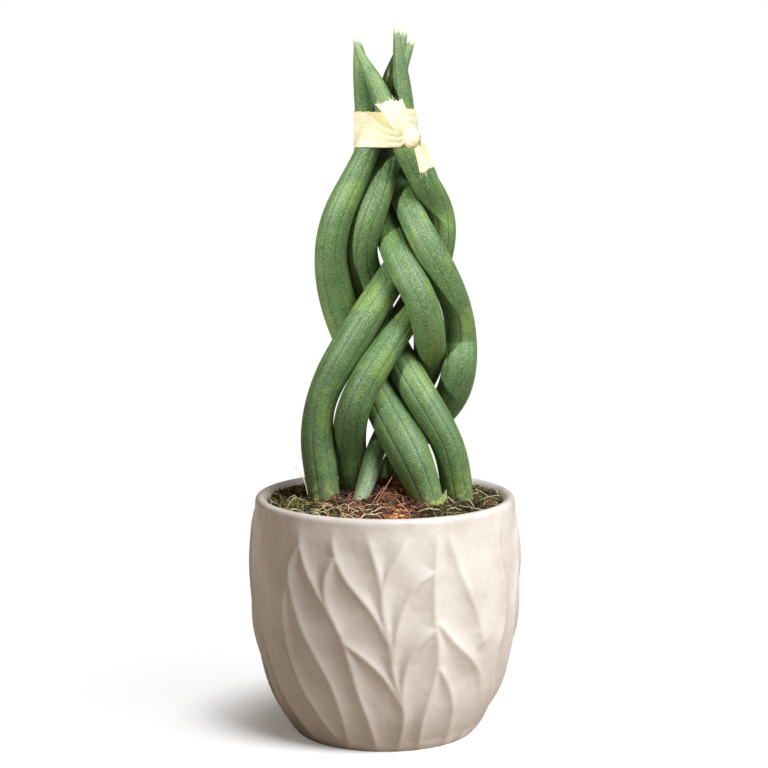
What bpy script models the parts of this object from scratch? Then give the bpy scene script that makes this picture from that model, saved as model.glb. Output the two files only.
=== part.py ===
"""Braided cylindrical snake plant in a glazed ceramic pot.

Six round leaves stand in potting soil. They are plaited as three strands of two leaves, and a
raffia tie holds them together under the tips. Moss and bark chips cover the soil. The pot is a
turned shell whose outer wall carries a relief of leaf-shaped scoops.

Lengths are in millimetres here and are scaled to metres as each mesh is made. +Z is up, the
front is -Y, and the origin is the middle of the pot's underside.
"""
import math
import random

import bmesh
import bpy
import numpy as np
from mathutils import Euler, Matrix, Vector

MM = 0.001
GAP = 0.35                     # clear space between pieces that touch on the real plant

# Pot: the outer profile as (radius, height), rim to foot
POT_OUTER = [(64.8, 123.5), (66.6, 122.4), (67.3, 119.5), (68.7, 112.0), (70.0, 102.0),
             (70.6, 93.0), (70.7, 84.0), (70.3, 72.0), (69.1, 56.0), (65.7, 40.0),
             (61.1, 24.0), (55.9, 13.0), (51.2, 5.5), (48.4, 2.0), (46.5, 0.0)]
POT_INNER = [(45.4, 8.0), (52.2, 14.0), (57.8, 28.0), (62.2, 48.0), (63.5, 75.0),
             (62.6, 100.0), (60.6, 114.0), (60.6, 120.0), (62.6, 122.8)]
POT_STEPS = 84                 # facets round the pot
POT_ROWS = 27                  # rows down the outer wall

# Relief on the pot: crest lines as (degrees from the front, height), in a third of the wall
RELIEF_SECTORS = 3
RELIEF_DEPTH = 2.0
RELIEF_WIDTH = 3.6             # how far from its crest a scoop reaches about two thirds of its depth
RELIEF_RADIUS = 68.0           # radius on which distances along the wall are measured
RELIEF_TOP, RELIEF_FULL = 121.0, 113.0
CRESTS = [
    [(-39, 122), (-38, 108), (-33, 94), (-25, 79), (-18, 63), (-15, 50), (-12, 34), (-8, 18), (-5, 0)],
    [(-22, 122), (-22, 110), (-15, 92), (-5, 77), (2, 60)],
    [(-21, 104), (-25, 94), (-25, 83), (-21, 71)],
    [(-9, 122), (-5, 106), (-2, 93), (-1, 80)],
    [(11, 120), (5, 105), (0, 93), (-1, 80), (2, 60), (4, 43), (8, 28), (9, 16), (7, 0)],
    [(-17, 61), (-7, 52), (1, 41), (8, 27)],
    [(-38, 108), (-43, 99), (-43, 88), (-39, 72), (-32, 55), (-26, 41), (-22, 25), (-22, 0)],
    [(-43, 92), (-47, 76), (-46, 56), (-43, 40), (-37, 25), (-29, 8)],
    [(21, 97), (14, 92), (7, 78), (4, 62), (3, 50)],
    [(23, 120), (21, 98), (21, 72), (23, 48), (21, 34), (19, 18), (20, 0)],
    [(21, 68), (12, 57), (8, 42), (8, 28)],
    [(23, 48), (30, 36), (35, 20), (38, 0)],
    [(28, 114), (33, 94), (40, 77), (46, 58)],
    [(23, 70), (32, 58), (42, 47), (49, 36), (51, 22), (49, 0)],
    [(57, 122), (56, 106), (59, 86), (61, 66), (58, 50), (60, 34), (66, 19), (75, 0)],
]

# Soil and its cover
SOIL_RADIUS, SOIL_TOP = 60.6, 115.0
COVER_EDGE = 120.3             # height of the moss and bark at the pot's wall
COVER_CROWN = 4.5              # how much higher they lie near the leaves
HEAP_CENTRE, HEAP_REACH, HEAP_CROWN = (4.0, -9.0), (19.0, 17.0), 6.5
HEAP_OUTLINE = [(-15, -64), (-18, -46), (-24, -32), (-26, -10), (-24.5, 9), (-6, 22), (12, 22),
                (24, 10), (27, -8), (25, -30), (17, -46), (14, -64)]
CHIP_COUNT = 18

# Leaves: (x, y, radius) of each at these heights, then its tip as (x, y, height, radius)
LEAF_HEIGHTS = [102, 116, 130, 150, 170, 190, 210, 230, 250, 270, 290, 305, 320, 335, 350]
LEAVES = {
    "leaf_a1": ([(25, -25, 7.2), (23.2, -24, 7.3), (18.9, -22, 8.4), (10.8, -18, 10.7),
                 (-0.1, -3, 10.1), (-10.9, 6, 9.3), (-20.2, 9, 8.9), (-26.2, 3, 8.6),
                 (-27.5, -7, 8.1), (-23.2, -13, 7.7), (-13.8, -11, 6.6), (-6.8, -9.2, 5.8),
                 (0.5, -3.5, 5.4), (5.5, 2, 4.4), (11.3, 5.5, 2.5)], (14, 6.5, 356, 1.3)),
    "leaf_a2": ([(39.8, -8, 7.0), (38.8, -9.5, 7.2), (37, -11.5, 7.8), (32.5, -14, 8.3),
                 (22.2, -13, 8.6), (9.9, -4.5, 8.5), (-0.8, 10.5, 8.5), (-8.6, 12.5, 8.6),
                 (-11.6, -1.5, 8.1), (-6.9, -10, 7.7), (0.2, -3.5, 6.4), (1.9, 5.5, 5.8),
                 (1, 9, 5.3), (2.6, 11.5, 4.4), (7.6, 13, 2.8)], (10.2, 13.5, 361, 1.2)),
    "leaf_b1": ([(-18.5, -35, 1.9), (-15.9, -29, 2.3), (-10.3, -21, 4.4), (-3.1, -5, 5.2),
                 (12, 15, 7.3), (22.1, 9.5, 8.0), (22.8, -6, 8.1), (16.6, -15, 8.1),
                 (6, -7, 7.9), (-1.2, 9.5, 7.4), (-10, 10, 6.6), (-9.2, 3, 5.6),
                 (-10.1, 2, 5.0), (-12, -2, 3.9), (-13.8, -4, 2.1)], (-14.3, -4.5, 354, 1.4)),
    "leaf_b2": ([(-1, 13, 6.4), (0.5, 12, 6.6), (2.5, 11, 6.8), (14, 13, 7.7), (31.8, 11, 8.2),
                 (37.7, 4.5, 8.3), (37.9, 1, 7.6), (32.7, -8, 7.5), (22.4, -13.5, 8.0),
                 (12.2, -5, 7.1), (2.5, 13.5, 6.6), (-4.5, 15.5, 5.8), (-8, 15, 5.1),
                 (-9.5, 9, 3.9), (-12.5, 3, 2.2)], (-13.5, 0.5, 356, 1.2)),
    "leaf_c1": ([(-10, 7, 6.6), (-12, 6, 7.0), (-15.1, 4, 7.5), (-17.9, -2, 8.1),
                 (-15.8, -15, 8.3), (-6.4, -16, 8.0), (7, -6.5, 7.4), (20, 9.5, 7.9),
                 (27.6, 5, 7.6), (27.3, 3.5, 7.3), (17, -10, 6.8), (9, -14, 6.2),
                 (1.4, -15, 5.6), (-5, -13, 4.2), (-12.8, -10, 2.0)], (-15.3, -9, 357, 1.2)),
    "leaf_c2": ([(-29.4, -9, 7.8), (-30.9, -8.5, 8.0), (-32.4, -8, 8.2), (-34.7, -7.5, 8.3),
                 (-33.3, -9.5, 7.9), (-25.7, -12.5, 8.4), (-13.8, -14, 8.6), (-0.8, -7, 8.0),
                 (13.8, 12, 8.0), (22, 17.5, 7.4), (19, 4.5, 6.6), (12.4, -2, 5.5),
                 (10.2, -7, 4.8), (8.5, -8, 4.3), (6.7, -8.5, 2.8)], (5.5, -8.5, 362, 1.2)),
}
LEAF_RINGS = 40                # rings of a leaf's own mesh
LEAF_SAMPLES = 2 * LEAF_RINGS - 1   # its rings and the points halfway between them
LEAF_SIDES = 12
LEAF_FLUTE = 0.05              # depth of a leaf's grooves, as a share of its radius
EASE_ROUNDS = 400
EASE_GAP = 0.9                 # clear space that the easing apart aims at
EASE_STEP, EASE_RATE = 3.0, 0.25
EASE_SIDEWAYS = 0.12           # share of a move that may show from the front

# Raffia tie
TIE_BOTTOM, TIE_TOP = 303.0, 320.0
TIE_THICK = 0.9
TIE_EASE = 0.35                # how slack the band lies round the bundle
TIE_ROWS, TIE_STEPS = 6, 44
TIE_CREASE = 0.35
KNOT_CENTRE, KNOT_RADII = (13.1, -25.6, 308.0), (4.2, 2.4, 5.2)


def material(name, colour, roughness, coat=0.0):
    """A Principled material of one colour."""
    made = bpy.data.materials.new(name)
    made.use_nodes = True
    shader = made.node_tree.nodes["Principled BSDF"]
    shader.inputs["Base Color"].default_value = (*colour, 1.0)
    shader.inputs["Roughness"].default_value = roughness
    shader.inputs["Metallic"].default_value = 0.0
    shader.inputs["Coat Weight"].default_value = coat
    made.diffuse_color = (*colour, 1.0)
    return made


def collection(name):
    made = bpy.data.collections.new(name)
    bpy.context.scene.collection.children.link(made)
    return made


def add_object(name, data, group):
    made = bpy.data.objects.new(name, data)
    group.objects.link(made)
    return made


def add_cutter(name, data, group):
    """A guide or a cutter: seen as wires only and left out of the part."""
    made = add_object(name, data, group)
    made.hide_render = True
    made.display_type = "WIRE"
    return made


def finish(piece, finish_material, angle=40.0):
    """Gives a mesh piece its material and smooth shading with sharp edges kept."""
    piece.data.materials.clear()
    piece.data.materials.append(finish_material)
    piece.data.shade_smooth()
    piece.data.set_sharp_from_angle(angle=math.radians(angle))
    return piece


def as_mesh(piece, group):
    """Replaces a curve, or a mesh with modifiers, by the welded mesh that it evaluates to."""
    graph = bpy.context.evaluated_depsgraph_get()
    mesh = bpy.data.meshes.new_from_object(piece.evaluated_get(graph))
    welded = bmesh.new()
    welded.from_mesh(mesh)
    bmesh.ops.remove_doubles(welded, verts=welded.verts, dist=0.001 * MM)
    welded.to_mesh(mesh)
    welded.free()
    name, place = piece.name, piece.matrix_world.copy()
    bpy.data.objects.remove(piece)
    mesh.name = name
    made = add_object(name, mesh, group)
    made.matrix_world = place
    return made


def turned(name, profile, steps, group):
    """A closed turned solid from (radius, height) points, in millimetres."""
    mesh = bpy.data.meshes.new(name)
    points = [(radius * MM, 0.0, height * MM) for radius, height in profile]
    mesh.from_pydata(points, [(i, i + 1) for i in range(len(points) - 1)], [])
    piece = add_object(name, mesh, group)
    screw = piece.modifiers.new("Turn", "SCREW")
    screw.steps = screw.render_steps = steps
    screw.use_merge_vertices = True
    screw.merge_threshold = 0.01 * MM
    screw.use_normal_calculate = False
    return as_mesh(piece, group)


def combine(piece, other, operation, group):
    """Applies one Boolean between two objects or an object and a collection."""
    step = piece.modifiers.new(operation.title(), "BOOLEAN")
    step.operation = operation
    step.solver = "EXACT"
    if isinstance(other, bpy.types.Collection):
        step.operand_type = "COLLECTION"
        step.collection = other
    else:
        step.object = other
    return as_mesh(piece, group)


def cut_holes(piece, holes, group):
    """Cuts the leaves' holes out of a piece, one after another."""
    for hole in list(holes.objects):
        piece = combine(piece, hole, "DIFFERENCE", group)
    return piece


def keep_largest(piece):
    """Drops loose scraps, so that the piece is one body."""
    body = bmesh.new()
    body.from_mesh(piece.data)
    left, islands = set(body.verts), []
    while left:
        stack, island = [left.pop()], set()
        while stack:
            vert = stack.pop()
            island.add(vert)
            for edge in vert.link_edges:
                other = edge.other_vert(vert)
                if other in left:
                    left.remove(other)
                    stack.append(other)
        islands.append(island)
    islands.sort(key=len, reverse=True)
    for island in islands[1:]:
        bmesh.ops.delete(body, geom=list(island), context="VERTS")
    body.to_mesh(piece.data)
    body.free()


def resample(points, count):
    """Splits a line of (x, height) points into count points at even steps along it."""
    line = np.array(points, float)
    along = np.concatenate([[0.0], np.cumsum(np.linalg.norm(np.diff(line, axis=0), axis=1))])
    at = np.linspace(0.0, along[-1], count)
    return np.column_stack([np.interp(at, along, line[:, i]) for i in range(line.shape[1])])


def smooth_curve(knots, values, at):
    """A natural cubic spline through values at the knots, read at the given places."""
    knots, values = np.array(knots, float), np.array(values, float)
    step, count = np.diff(knots), len(knots)
    system, right = np.eye(count), np.zeros_like(values)
    for i in range(1, count - 1):
        system[i, i - 1:i + 2] = step[i - 1], 2.0 * (step[i - 1] + step[i]), step[i]
        right[i] = 6.0 * ((values[i + 1] - values[i]) / step[i] - (values[i] - values[i - 1]) / step[i - 1])
    bend = np.linalg.solve(system, right)
    low = np.clip(np.searchsorted(knots, at) - 1, 0, count - 2)
    a, b, h = (at - knots[low])[:, None], (knots[low + 1] - at)[:, None], step[low][:, None]
    return (bend[low] * b ** 3 + bend[low + 1] * a ** 3) / (6.0 * h) \
        + (values[low] / h - bend[low] * h / 6.0) * b \
        + (values[low + 1] / h - bend[low + 1] * h / 6.0) * a


def leaf_line(stations, tip):
    """Points (x, y, z, radius) at even steps along the middle of one leaf."""
    heights = LEAF_HEIGHTS + [tip[2]]
    rows = [(x, y, z, r) for (x, y, r), z in zip(stations, LEAF_HEIGHTS)] + [tip]
    fine = smooth_curve(heights, rows, np.linspace(heights[0], heights[-1], 400))
    return resample(fine, LEAF_SAMPLES)


def ease_apart(lines):
    """Moves the leaves' middle lines, nearly all front to back, until every two clear each other.

    The plait keeps its look from the front that way.
    """
    names = list(lines)
    start = {name: lines[name][:, :3].copy() for name in names}
    place = {name: start[name].copy() for name in names}
    own = np.arange(LEAF_SAMPLES)
    for _ in range(EASE_ROUNDS):
        push = {name: np.zeros((LEAF_SAMPLES, 2)) for name in names}
        for i, one in enumerate(names):
            for two in names[i + 1:]:
                apart = place[one][:, None] - place[two][None]
                need = lines[one][:, 3][:, None] + lines[two][:, 3][None] + EASE_GAP
                far = np.maximum(np.linalg.norm(apart, axis=2), 1e-6)
                for axis, name, sign in ((1, one, 0.5), (0, two, -0.5)):
                    worst = (need - far).argmax(axis)
                    at = (own, worst) if axis == 1 else (worst, own)
                    x, y, z = apart[at].T
                    lack = np.maximum(need[at] - far[at], 0.0)
                    deep = np.sqrt(np.maximum(need[at] ** 2 - x ** 2 - z ** 2, 0.0)) - np.abs(y)
                    deep = np.where(lack > 0.0, np.minimum(deep, EASE_STEP), 0.0)
                    push[name][:, 0] += sign * EASE_SIDEWAYS * lack * x / far[at]
                    push[name][:, 1] += sign * np.copysign(deep, y)
        for name in names:
            step = push[name][::2].copy()
            step[:-1] += 0.5 * push[name][1::2]
            step[1:] += 0.5 * push[name][1::2]
            moved = place[name][::2, :2] + EASE_RATE * step - start[name][::2, :2]
            moved[1:-1] = 0.88 * moved[1:-1] + 0.06 * (moved[:-2] + moved[2:])
            place[name][::2, :2] = start[name][::2, :2] + moved
            place[name][1::2] = 0.5 * (place[name][:-1:2] + place[name][2::2])
    return {name: np.column_stack([place[name], lines[name][:, 3]]) for name in names}


def leaf_section(group):
    """The grooved outline of a leaf, one millimetre in radius, as a guide curve."""
    curve = bpy.data.curves.new("leaf_section", "CURVE")
    curve.dimensions = "2D"
    spline = curve.splines.new("POLY")
    spline.points.add(LEAF_SIDES - 1)
    for i, point in enumerate(spline.points):
        turn = -2.0 * math.pi * i / LEAF_SIDES
        radius = MM * (1.0 - LEAF_FLUTE * (i % 2))
        point.co = (radius * math.cos(turn), radius * math.sin(turn), 0.0, 1.0)
    spline.use_cyclic_u = True
    return add_cutter("leaf_section", curve, group)


def tube(name, line, group, section=None):
    """A round curve object along a line of (x, y, z, radius) points, with filled ends."""
    curve = bpy.data.curves.new(name, "CURVE")
    curve.dimensions = "3D"
    curve.use_fill_caps = True
    curve.resolution_u, curve.render_resolution_u = 1, 0
    if section:
        curve.bevel_mode = "OBJECT"
        curve.bevel_object = section
    else:
        curve.bevel_depth = MM
        curve.bevel_resolution = 4
    spline = curve.splines.new("POLY")
    spline.points.add(len(line) - 1)
    for point, (x, y, z, radius) in zip(spline.points, line):
        point.co = (x * MM, y * MM, z * MM, 1.0)
        point.radius = radius
    return add_object(name, curve, group)


def make_leaf(name, line, section, green, parts):
    """One leaf: a long grooved tube with a blunt tip, standing in the soil."""
    leaf = tube(name, line[::2], parts, section)
    leaf.data.materials.append(green)
    return leaf


def make_holes(lines, holes):
    """Fat copies of the leaves' lower ends, which cut the holes that they stand in."""
    for name, line in lines.items():
        low = line[line[:, 2] < SOIL_TOP + 35.0].copy()
        down = (low[0, :3] - low[1, :3]) / np.linalg.norm(low[0, :3] - low[1, :3])
        low[0, :3] += GAP * down
        low[:, 3] += GAP + 0.25
        fat = as_mesh(tube("hole_" + name, low, holes), holes)
        fat.hide_render = True
        fat.display_type = "WIRE"


def relief(turn, height):
    """Depth of the scoops in the pot's wall: none on a crest line, full away from it."""
    sector = 2.0 * math.pi / RELIEF_SECTORS
    place = np.column_stack([turn * RELIEF_RADIUS, height])
    near = np.full(len(place), 1e9)
    for shift in range(-2, RELIEF_SECTORS + 2):
        for crest in CRESTS:
            line = np.array([((math.radians(a) + shift * sector) * RELIEF_RADIUS, z) for a, z in crest])
            for start, end in zip(line[:-1], line[1:]):
                along = end - start
                t = np.clip(((place - start) @ along) / (along @ along), 0.0, 1.0)
                near = np.minimum(near, np.linalg.norm(place - start - t[:, None] * along, axis=1))
    fade = np.clip((RELIEF_TOP - height) / (RELIEF_TOP - RELIEF_FULL), 0.0, 1.0)
    fade = fade * fade * (3.0 - 2.0 * fade) * np.clip(height / 6.0, 0.0, 1.0)
    return RELIEF_DEPTH * fade * (1.0 - np.exp(-near / RELIEF_WIDTH))


def make_pot(glaze, parts):
    """The pot: a turned shell, open at the top, with the relief sunk into its outer wall."""
    outer = resample(POT_OUTER, POT_ROWS)
    profile = [(0.0, POT_INNER[0][1])] + POT_INNER + [tuple(row) for row in outer] + [(0.0, 0.0)]
    pot = turned("pot", profile, POT_STEPS, parts)
    heights, radii = outer[::-1, 1], outer[::-1, 0]
    verts = pot.data.vertices
    flat = np.array([tuple(vert.co) for vert in verts]) / MM
    radius, height = np.hypot(flat[:, 0], flat[:, 1]), flat[:, 2]
    wall = (np.abs(radius - np.interp(height, heights, radii)) < 0.05) & (height > 0.01)
    turn = np.arctan2(flat[:, 0], -flat[:, 1])
    depth = np.where(wall, relief(turn, height), 0.0)
    for vert, sink, r in zip(verts, depth, radius):
        if sink > 0.0:
            vert.co.x *= 1.0 - sink / r
            vert.co.y *= 1.0 - sink / r
    return finish(pot, glaze, 60.0)


def make_soil(earth, holes, parts):
    """Potting soil: fills the pot up to its flat top, with a plain hole for each leaf."""
    inner = [(radius - 1.5 * GAP, height) for radius, height in POT_INNER if height < SOIL_TOP - 2.0]
    side = [(SOIL_RADIUS - GAP, SOIL_TOP)] + inner[::-1]
    bottom = inner[0][1] + GAP
    profile = [(0.0, SOIL_TOP)] + side[:-1] + [(side[-1][0] - GAP, bottom), (0.0, bottom)]
    soil = turned("soil", profile, 40, parts)
    soil = cut_holes(soil, holes, parts)
    keep_largest(soil)
    return finish(soil, earth)


def lump(x, y, size, seed):
    """A gentle, repeatable unevenness of about one unit over the given size."""
    return (math.sin(x / size + seed) * math.cos(y / size * 1.13 - seed)
            + 0.6 * math.sin((x + 1.7 * y) / size * 1.9 + 2.0 * seed)
            + 0.4 * math.cos((2.3 * x - y) / size * 1.6 - seed))


def cover_top(x, y):
    """Height of the moss and bark at a place inside the pot."""
    inward = 1.0 - (math.hypot(x, y) / SOIL_RADIUS) ** 2
    away = ((x - HEAP_CENTRE[0]) / HEAP_REACH[0]) ** 2 + ((y - HEAP_CENTRE[1]) / HEAP_REACH[1]) ** 2
    return COVER_EDGE + COVER_CROWN * inward + HEAP_CROWN * math.exp(-away)


def cover_disc(name, rough, seed, parts):
    """A disc of the soil's cover with a lumpy top, before it is cut to its own outline."""
    edge = SOIL_RADIUS - GAP - 0.4
    rings = [0.0, 9.0, 18.0, 27.0, 36.0, 45.0, 53.0, edge - 1.2]
    top = [(radius, COVER_EDGE) for radius in rings] + [(edge, COVER_EDGE - 2.0)]
    disc = turned(name, top + [(edge, SOIL_TOP + GAP), (0.0, SOIL_TOP + GAP)], 42, parts)
    for vert in disc.data.vertices:
        x, y, z = vert.co / MM
        if z > SOIL_TOP + 1.0:
            vert.co.z += (cover_top(x, y) - COVER_EDGE + rough * lump(x, y, 5.0, seed)) * MM
    return disc


def heap_cutter(name, grow, holes_group):
    """The outline of the bark heap as a tall prism, grown by a margin."""
    curve = bpy.data.curves.new(name, "CURVE")
    curve.dimensions = "2D"
    curve.fill_mode = "BOTH"
    curve.extrude = 30.0 * MM
    centre = Vector((2.0, -12.0))
    spline = curve.splines.new("POLY")
    spline.points.add(len(HEAP_OUTLINE) - 1)
    for point, (x, y) in zip(spline.points, HEAP_OUTLINE):
        out = (Vector((x, y)) - centre).normalized() * grow
        point.co = ((x + out.x) * MM, (y + out.y) * MM, 0.0, 1.0)
    spline.use_cyclic_u = True
    prism = add_object(name, curve, holes_group)
    prism.location.z = SOIL_TOP * MM
    bpy.context.view_layer.update()
    prism = as_mesh(prism, holes_group)
    prism.hide_render = True
    prism.display_type = "WIRE"
    return prism


def make_moss(green, holes, cutters, parts):
    """Moss: a lumpy ring on the soil, open at the front where the bark reaches the wall."""
    moss = cover_disc("moss", 0.8, 1.3, parts)
    moss = combine(moss, heap_cutter("moss_opening", 0.0, cutters), "DIFFERENCE", parts)
    moss = cut_holes(moss, holes, parts)
    keep_largest(moss)
    return finish(moss, green)


def inside_heap(x, y, margin):
    """True if a place lies inside the heap's outline, by the margin."""
    count, inside = len(HEAP_OUTLINE), False
    nearest = 1e9
    for i in range(count):
        (x0, y0), (x1, y1) = HEAP_OUTLINE[i], HEAP_OUTLINE[(i + 1) % count]
        if (y0 > y) != (y1 > y) and x < (x1 - x0) * (y - y0) / (y1 - y0) + x0:
            inside = not inside
        side, start = Vector((x1 - x0, y1 - y0)), Vector((x - x0, y - y0))
        t = max(0.0, min(1.0, start.dot(side) / side.length_squared))
        nearest = min(nearest, (start - t * side).length)
    return inside and nearest > margin


def make_bark(brown, lines, holes, cutters, parts):
    """Bark and coir: a heap between the leaves, with chips that stand out of it."""
    draw = random.Random(7)
    bark = cover_disc("bark", 0.9, 2.9, parts)
    bark = combine(bark, heap_cutter("bark_outline", -2.0 * GAP, cutters), "INTERSECT", parts)
    chips = collection("chips")
    places = []
    while len(places) < CHIP_COUNT:
        x, y = draw.uniform(-24.0, 24.0), draw.uniform(-53.0, 20.0)
        top = cover_top(x, y)
        feet = [line[np.abs(line[:, 2] - top).argmin()] for line in lines.values()]
        clear = all(math.hypot(x - foot[0], y - foot[1]) > foot[3] + 4.2 for foot in feet)
        spread = all(math.hypot(x - px, y - py) > 4.5 for px, py in places)
        if clear and spread and math.hypot(x, y) < 54.0 and inside_heap(x, y, 4.6):
            places.append((x, y))
            tilt = Euler((draw.uniform(-0.5, 0.5), draw.uniform(-0.5, 0.5), draw.uniform(0.0, 3.1)))
            size = (draw.uniform(5.5, 8.0), draw.uniform(3.0, 4.5), draw.uniform(1.6, 2.6))
            mesh = bpy.data.meshes.new("chip")
            box = bmesh.new()
            bmesh.ops.create_cube(box, size=MM)
            box.transform(Matrix.Translation(Vector((x, y, top + 0.2)) * MM)
                          @ tilt.to_matrix().to_4x4() @ Matrix.Diagonal((*size, 1.0)))
            box.to_mesh(mesh)
            box.free()
            add_object("chip_%02d" % len(places), mesh, chips)
    bark = combine(bark, chips, "UNION", parts)
    for chip in list(chips.objects):
        bpy.data.objects.remove(chip)
    bpy.data.collections.remove(chips)
    bark = cut_holes(bark, holes, parts)
    keep_largest(bark)
    return finish(bark, brown, 25.0)


def bundle_reach(lines, height, turns):
    """How far a string pulled round the leaves at this height lies from the pot's axis."""
    points = np.vstack(list(lines.values()))
    inside = points[np.abs(points[:, 2] - height) < points[:, 3]]
    section = np.sqrt(inside[:, 3] ** 2 - (inside[:, 2] - height) ** 2)
    lean = np.linspace(0.0, 2.0 * math.pi, 180, endpoint=False)
    support = (inside[:, :1] * np.cos(lean) + inside[:, 1:2] * np.sin(lean) + section[:, None]).max(0)
    across = np.cos(lean[None] - turns[:, None])
    return np.where(across > 0.15, support[None] / np.maximum(across, 0.15), 1e9).min(1)


def strip(name, place, rows, columns, group):
    """A thin raffia strip: a grid bent by a function of (along, across), made solid."""
    mesh = bpy.data.meshes.new(name)
    sheet = bmesh.new()
    bmesh.ops.create_grid(sheet, x_segments=rows, y_segments=columns, size=0.5)
    for vert in sheet.verts:
        vert.co = Vector(place(vert.co.x + 0.5, vert.co.y)) * MM
    bmesh.ops.recalc_face_normals(sheet, faces=sheet.faces)
    sheet.to_mesh(mesh)
    sheet.free()
    piece = add_object(name, mesh, group)
    solid = piece.modifiers.new("Thickness", "SOLIDIFY")
    solid.thickness = TIE_THICK * MM
    solid.offset = 0.0
    return as_mesh(piece, group)


def upper_tail(along, across):
    """From the knot up and to the left over the band, widening to its end."""
    wide = 2.6 + 18.8 * along - 8.0 * along ** 2
    x = 9.6 - 5.8 * along - 2.4 * along ** 2 + across * wide
    z = 309.6 + 15.5 * along + across * wide * 0.28 * along
    return x, -24.9 - 0.8 * math.sin(math.pi * along), z


def lower_tail(along, across):
    """From the knot down and to the right, hanging free of the leaves."""
    wide = 3.6 + 4.4 * along
    x = 15.2 + 6.0 * along + across * wide * 0.93
    return x, -25.2 + 0.6 * along, 305.9 - 14.0 * along + across * wide * (0.7 * along - 0.3)


def make_tie(straw, lines, parts):
    """The raffia tie: a creased band round the leaves with a knot and two loose ends."""
    heights = np.linspace(TIE_TOP, TIE_BOTTOM, TIE_ROWS)
    turns = np.linspace(0.0, 2.0 * math.pi, TIE_STEPS, endpoint=False)
    inner = np.max([bundle_reach(lines, height, turns) for height in heights], axis=0) + GAP + TIE_EASE
    walls = [(inner + TIE_THICK + TIE_CREASE * (k % 2), height) for k, height in enumerate(heights)]
    walls += [(inner, TIE_BOTTOM), (inner, TIE_TOP)]
    band_mesh = bpy.data.meshes.new("raffia_tie")
    band = bmesh.new()
    rings = [[band.verts.new((r * math.cos(t) * MM, r * math.sin(t) * MM, height * MM))
              for r, t in zip(reach, turns)] for reach, height in walls]
    for i, ring in enumerate(rings):
        follow = rings[(i + 1) % len(rings)]
        for j in range(TIE_STEPS):
            k = (j + 1) % TIE_STEPS
            band.faces.new((ring[j], follow[j], follow[k], ring[k]))
    bmesh.ops.recalc_face_normals(band, faces=band.faces)
    band.to_mesh(band_mesh)
    band.free()
    tie = add_object("raffia_tie", band_mesh, parts)
    extras = collection("tie_extras")
    knot_mesh = bpy.data.meshes.new("knot")
    knot = bmesh.new()
    bmesh.ops.create_uvsphere(knot, u_segments=10, v_segments=7, radius=MM)
    knot.transform(Matrix.Translation(Vector(KNOT_CENTRE) * MM) @ Matrix.Diagonal((*KNOT_RADII, 1.0)))
    knot.to_mesh(knot_mesh)
    knot.free()
    add_object("knot", knot_mesh, extras)
    strip("tail_up", upper_tail, 6, 3, extras)
    strip("tail_down", lower_tail, 5, 2, extras)
    tie = combine(tie, extras, "UNION", parts)
    for piece in list(extras.objects):
        bpy.data.objects.remove(piece)
    bpy.data.collections.remove(extras)
    keep_largest(tie)
    return finish(tie, straw, 30.0)


def build():
    for old in list(bpy.data.objects):
        bpy.data.objects.remove(old)
    parts = collection("cylindrical_snake_plant")
    cutters = collection("cutters")
    holes = collection("leaf_holes")
    glaze = material("cream_glaze", (0.72, 0.66, 0.58), 0.25, 0.4)
    leaf_green = material("leaf_green", (0.16, 0.27, 0.13), 0.45)
    earth = material("potting_soil", (0.06, 0.04, 0.03), 0.95)
    moss_green = material("moss_green", (0.20, 0.22, 0.06), 0.9)
    brown = material("bark_brown", (0.25, 0.11, 0.06), 0.85)
    straw = material("raffia_cream", (0.83, 0.79, 0.60), 0.6)

    lines = ease_apart({name: leaf_line(*leaf) for name, leaf in LEAVES.items()})
    section = leaf_section(cutters)
    for name, line in lines.items():
        make_leaf(name, line, section, leaf_green, parts)
    make_holes(lines, holes)
    make_pot(glaze, parts)
    make_soil(earth, holes, parts)
    make_moss(moss_green, holes, cutters, parts)
    make_bark(brown, lines, holes, cutters, parts)
    make_tie(straw, lines, parts)


build()
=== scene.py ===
"""The looks of a braided cylindrical snake plant in a glazed pot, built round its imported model.

Objects are in metres, in the model's frame: +Z up, the front at -Y, the origin under the pot.
Sizes below are in millimetres unless their name or place says otherwise.
"""
import math
import random
from itertools import combinations

import bpy
import numpy as np
from mathutils import Euler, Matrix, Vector, noise


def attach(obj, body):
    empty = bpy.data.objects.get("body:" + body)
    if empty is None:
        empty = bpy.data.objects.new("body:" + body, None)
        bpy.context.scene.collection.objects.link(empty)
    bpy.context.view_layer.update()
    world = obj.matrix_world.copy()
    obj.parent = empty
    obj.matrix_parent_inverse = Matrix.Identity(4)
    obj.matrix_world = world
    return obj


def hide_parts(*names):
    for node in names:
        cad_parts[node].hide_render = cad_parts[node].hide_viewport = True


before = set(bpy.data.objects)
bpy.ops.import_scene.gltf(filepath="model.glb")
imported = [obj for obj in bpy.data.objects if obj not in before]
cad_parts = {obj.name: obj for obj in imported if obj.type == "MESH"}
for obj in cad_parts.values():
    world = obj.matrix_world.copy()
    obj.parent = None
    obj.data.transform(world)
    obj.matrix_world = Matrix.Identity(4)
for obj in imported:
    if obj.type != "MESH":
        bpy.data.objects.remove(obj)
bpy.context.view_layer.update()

# Camera: a long lens a little above the height of the tie, tilted down at the plant's middle. The
# ellipse of the rim, the foot and the leaf tips in the photograph fix its place, tilt and focal
# length. The camera and the studio are in metres.
CAMERA_PLACE = (-0.0005, -1.15, 0.347)
CAMERA_TILT = math.radians(8.21)
FOCAL_LENGTH, SENSOR = 105.9, 36.0


def new_object(name, data):
    """An object in the scene."""
    made = bpy.data.objects.new(name, data)
    bpy.context.scene.collection.objects.link(made)
    return made


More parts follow.
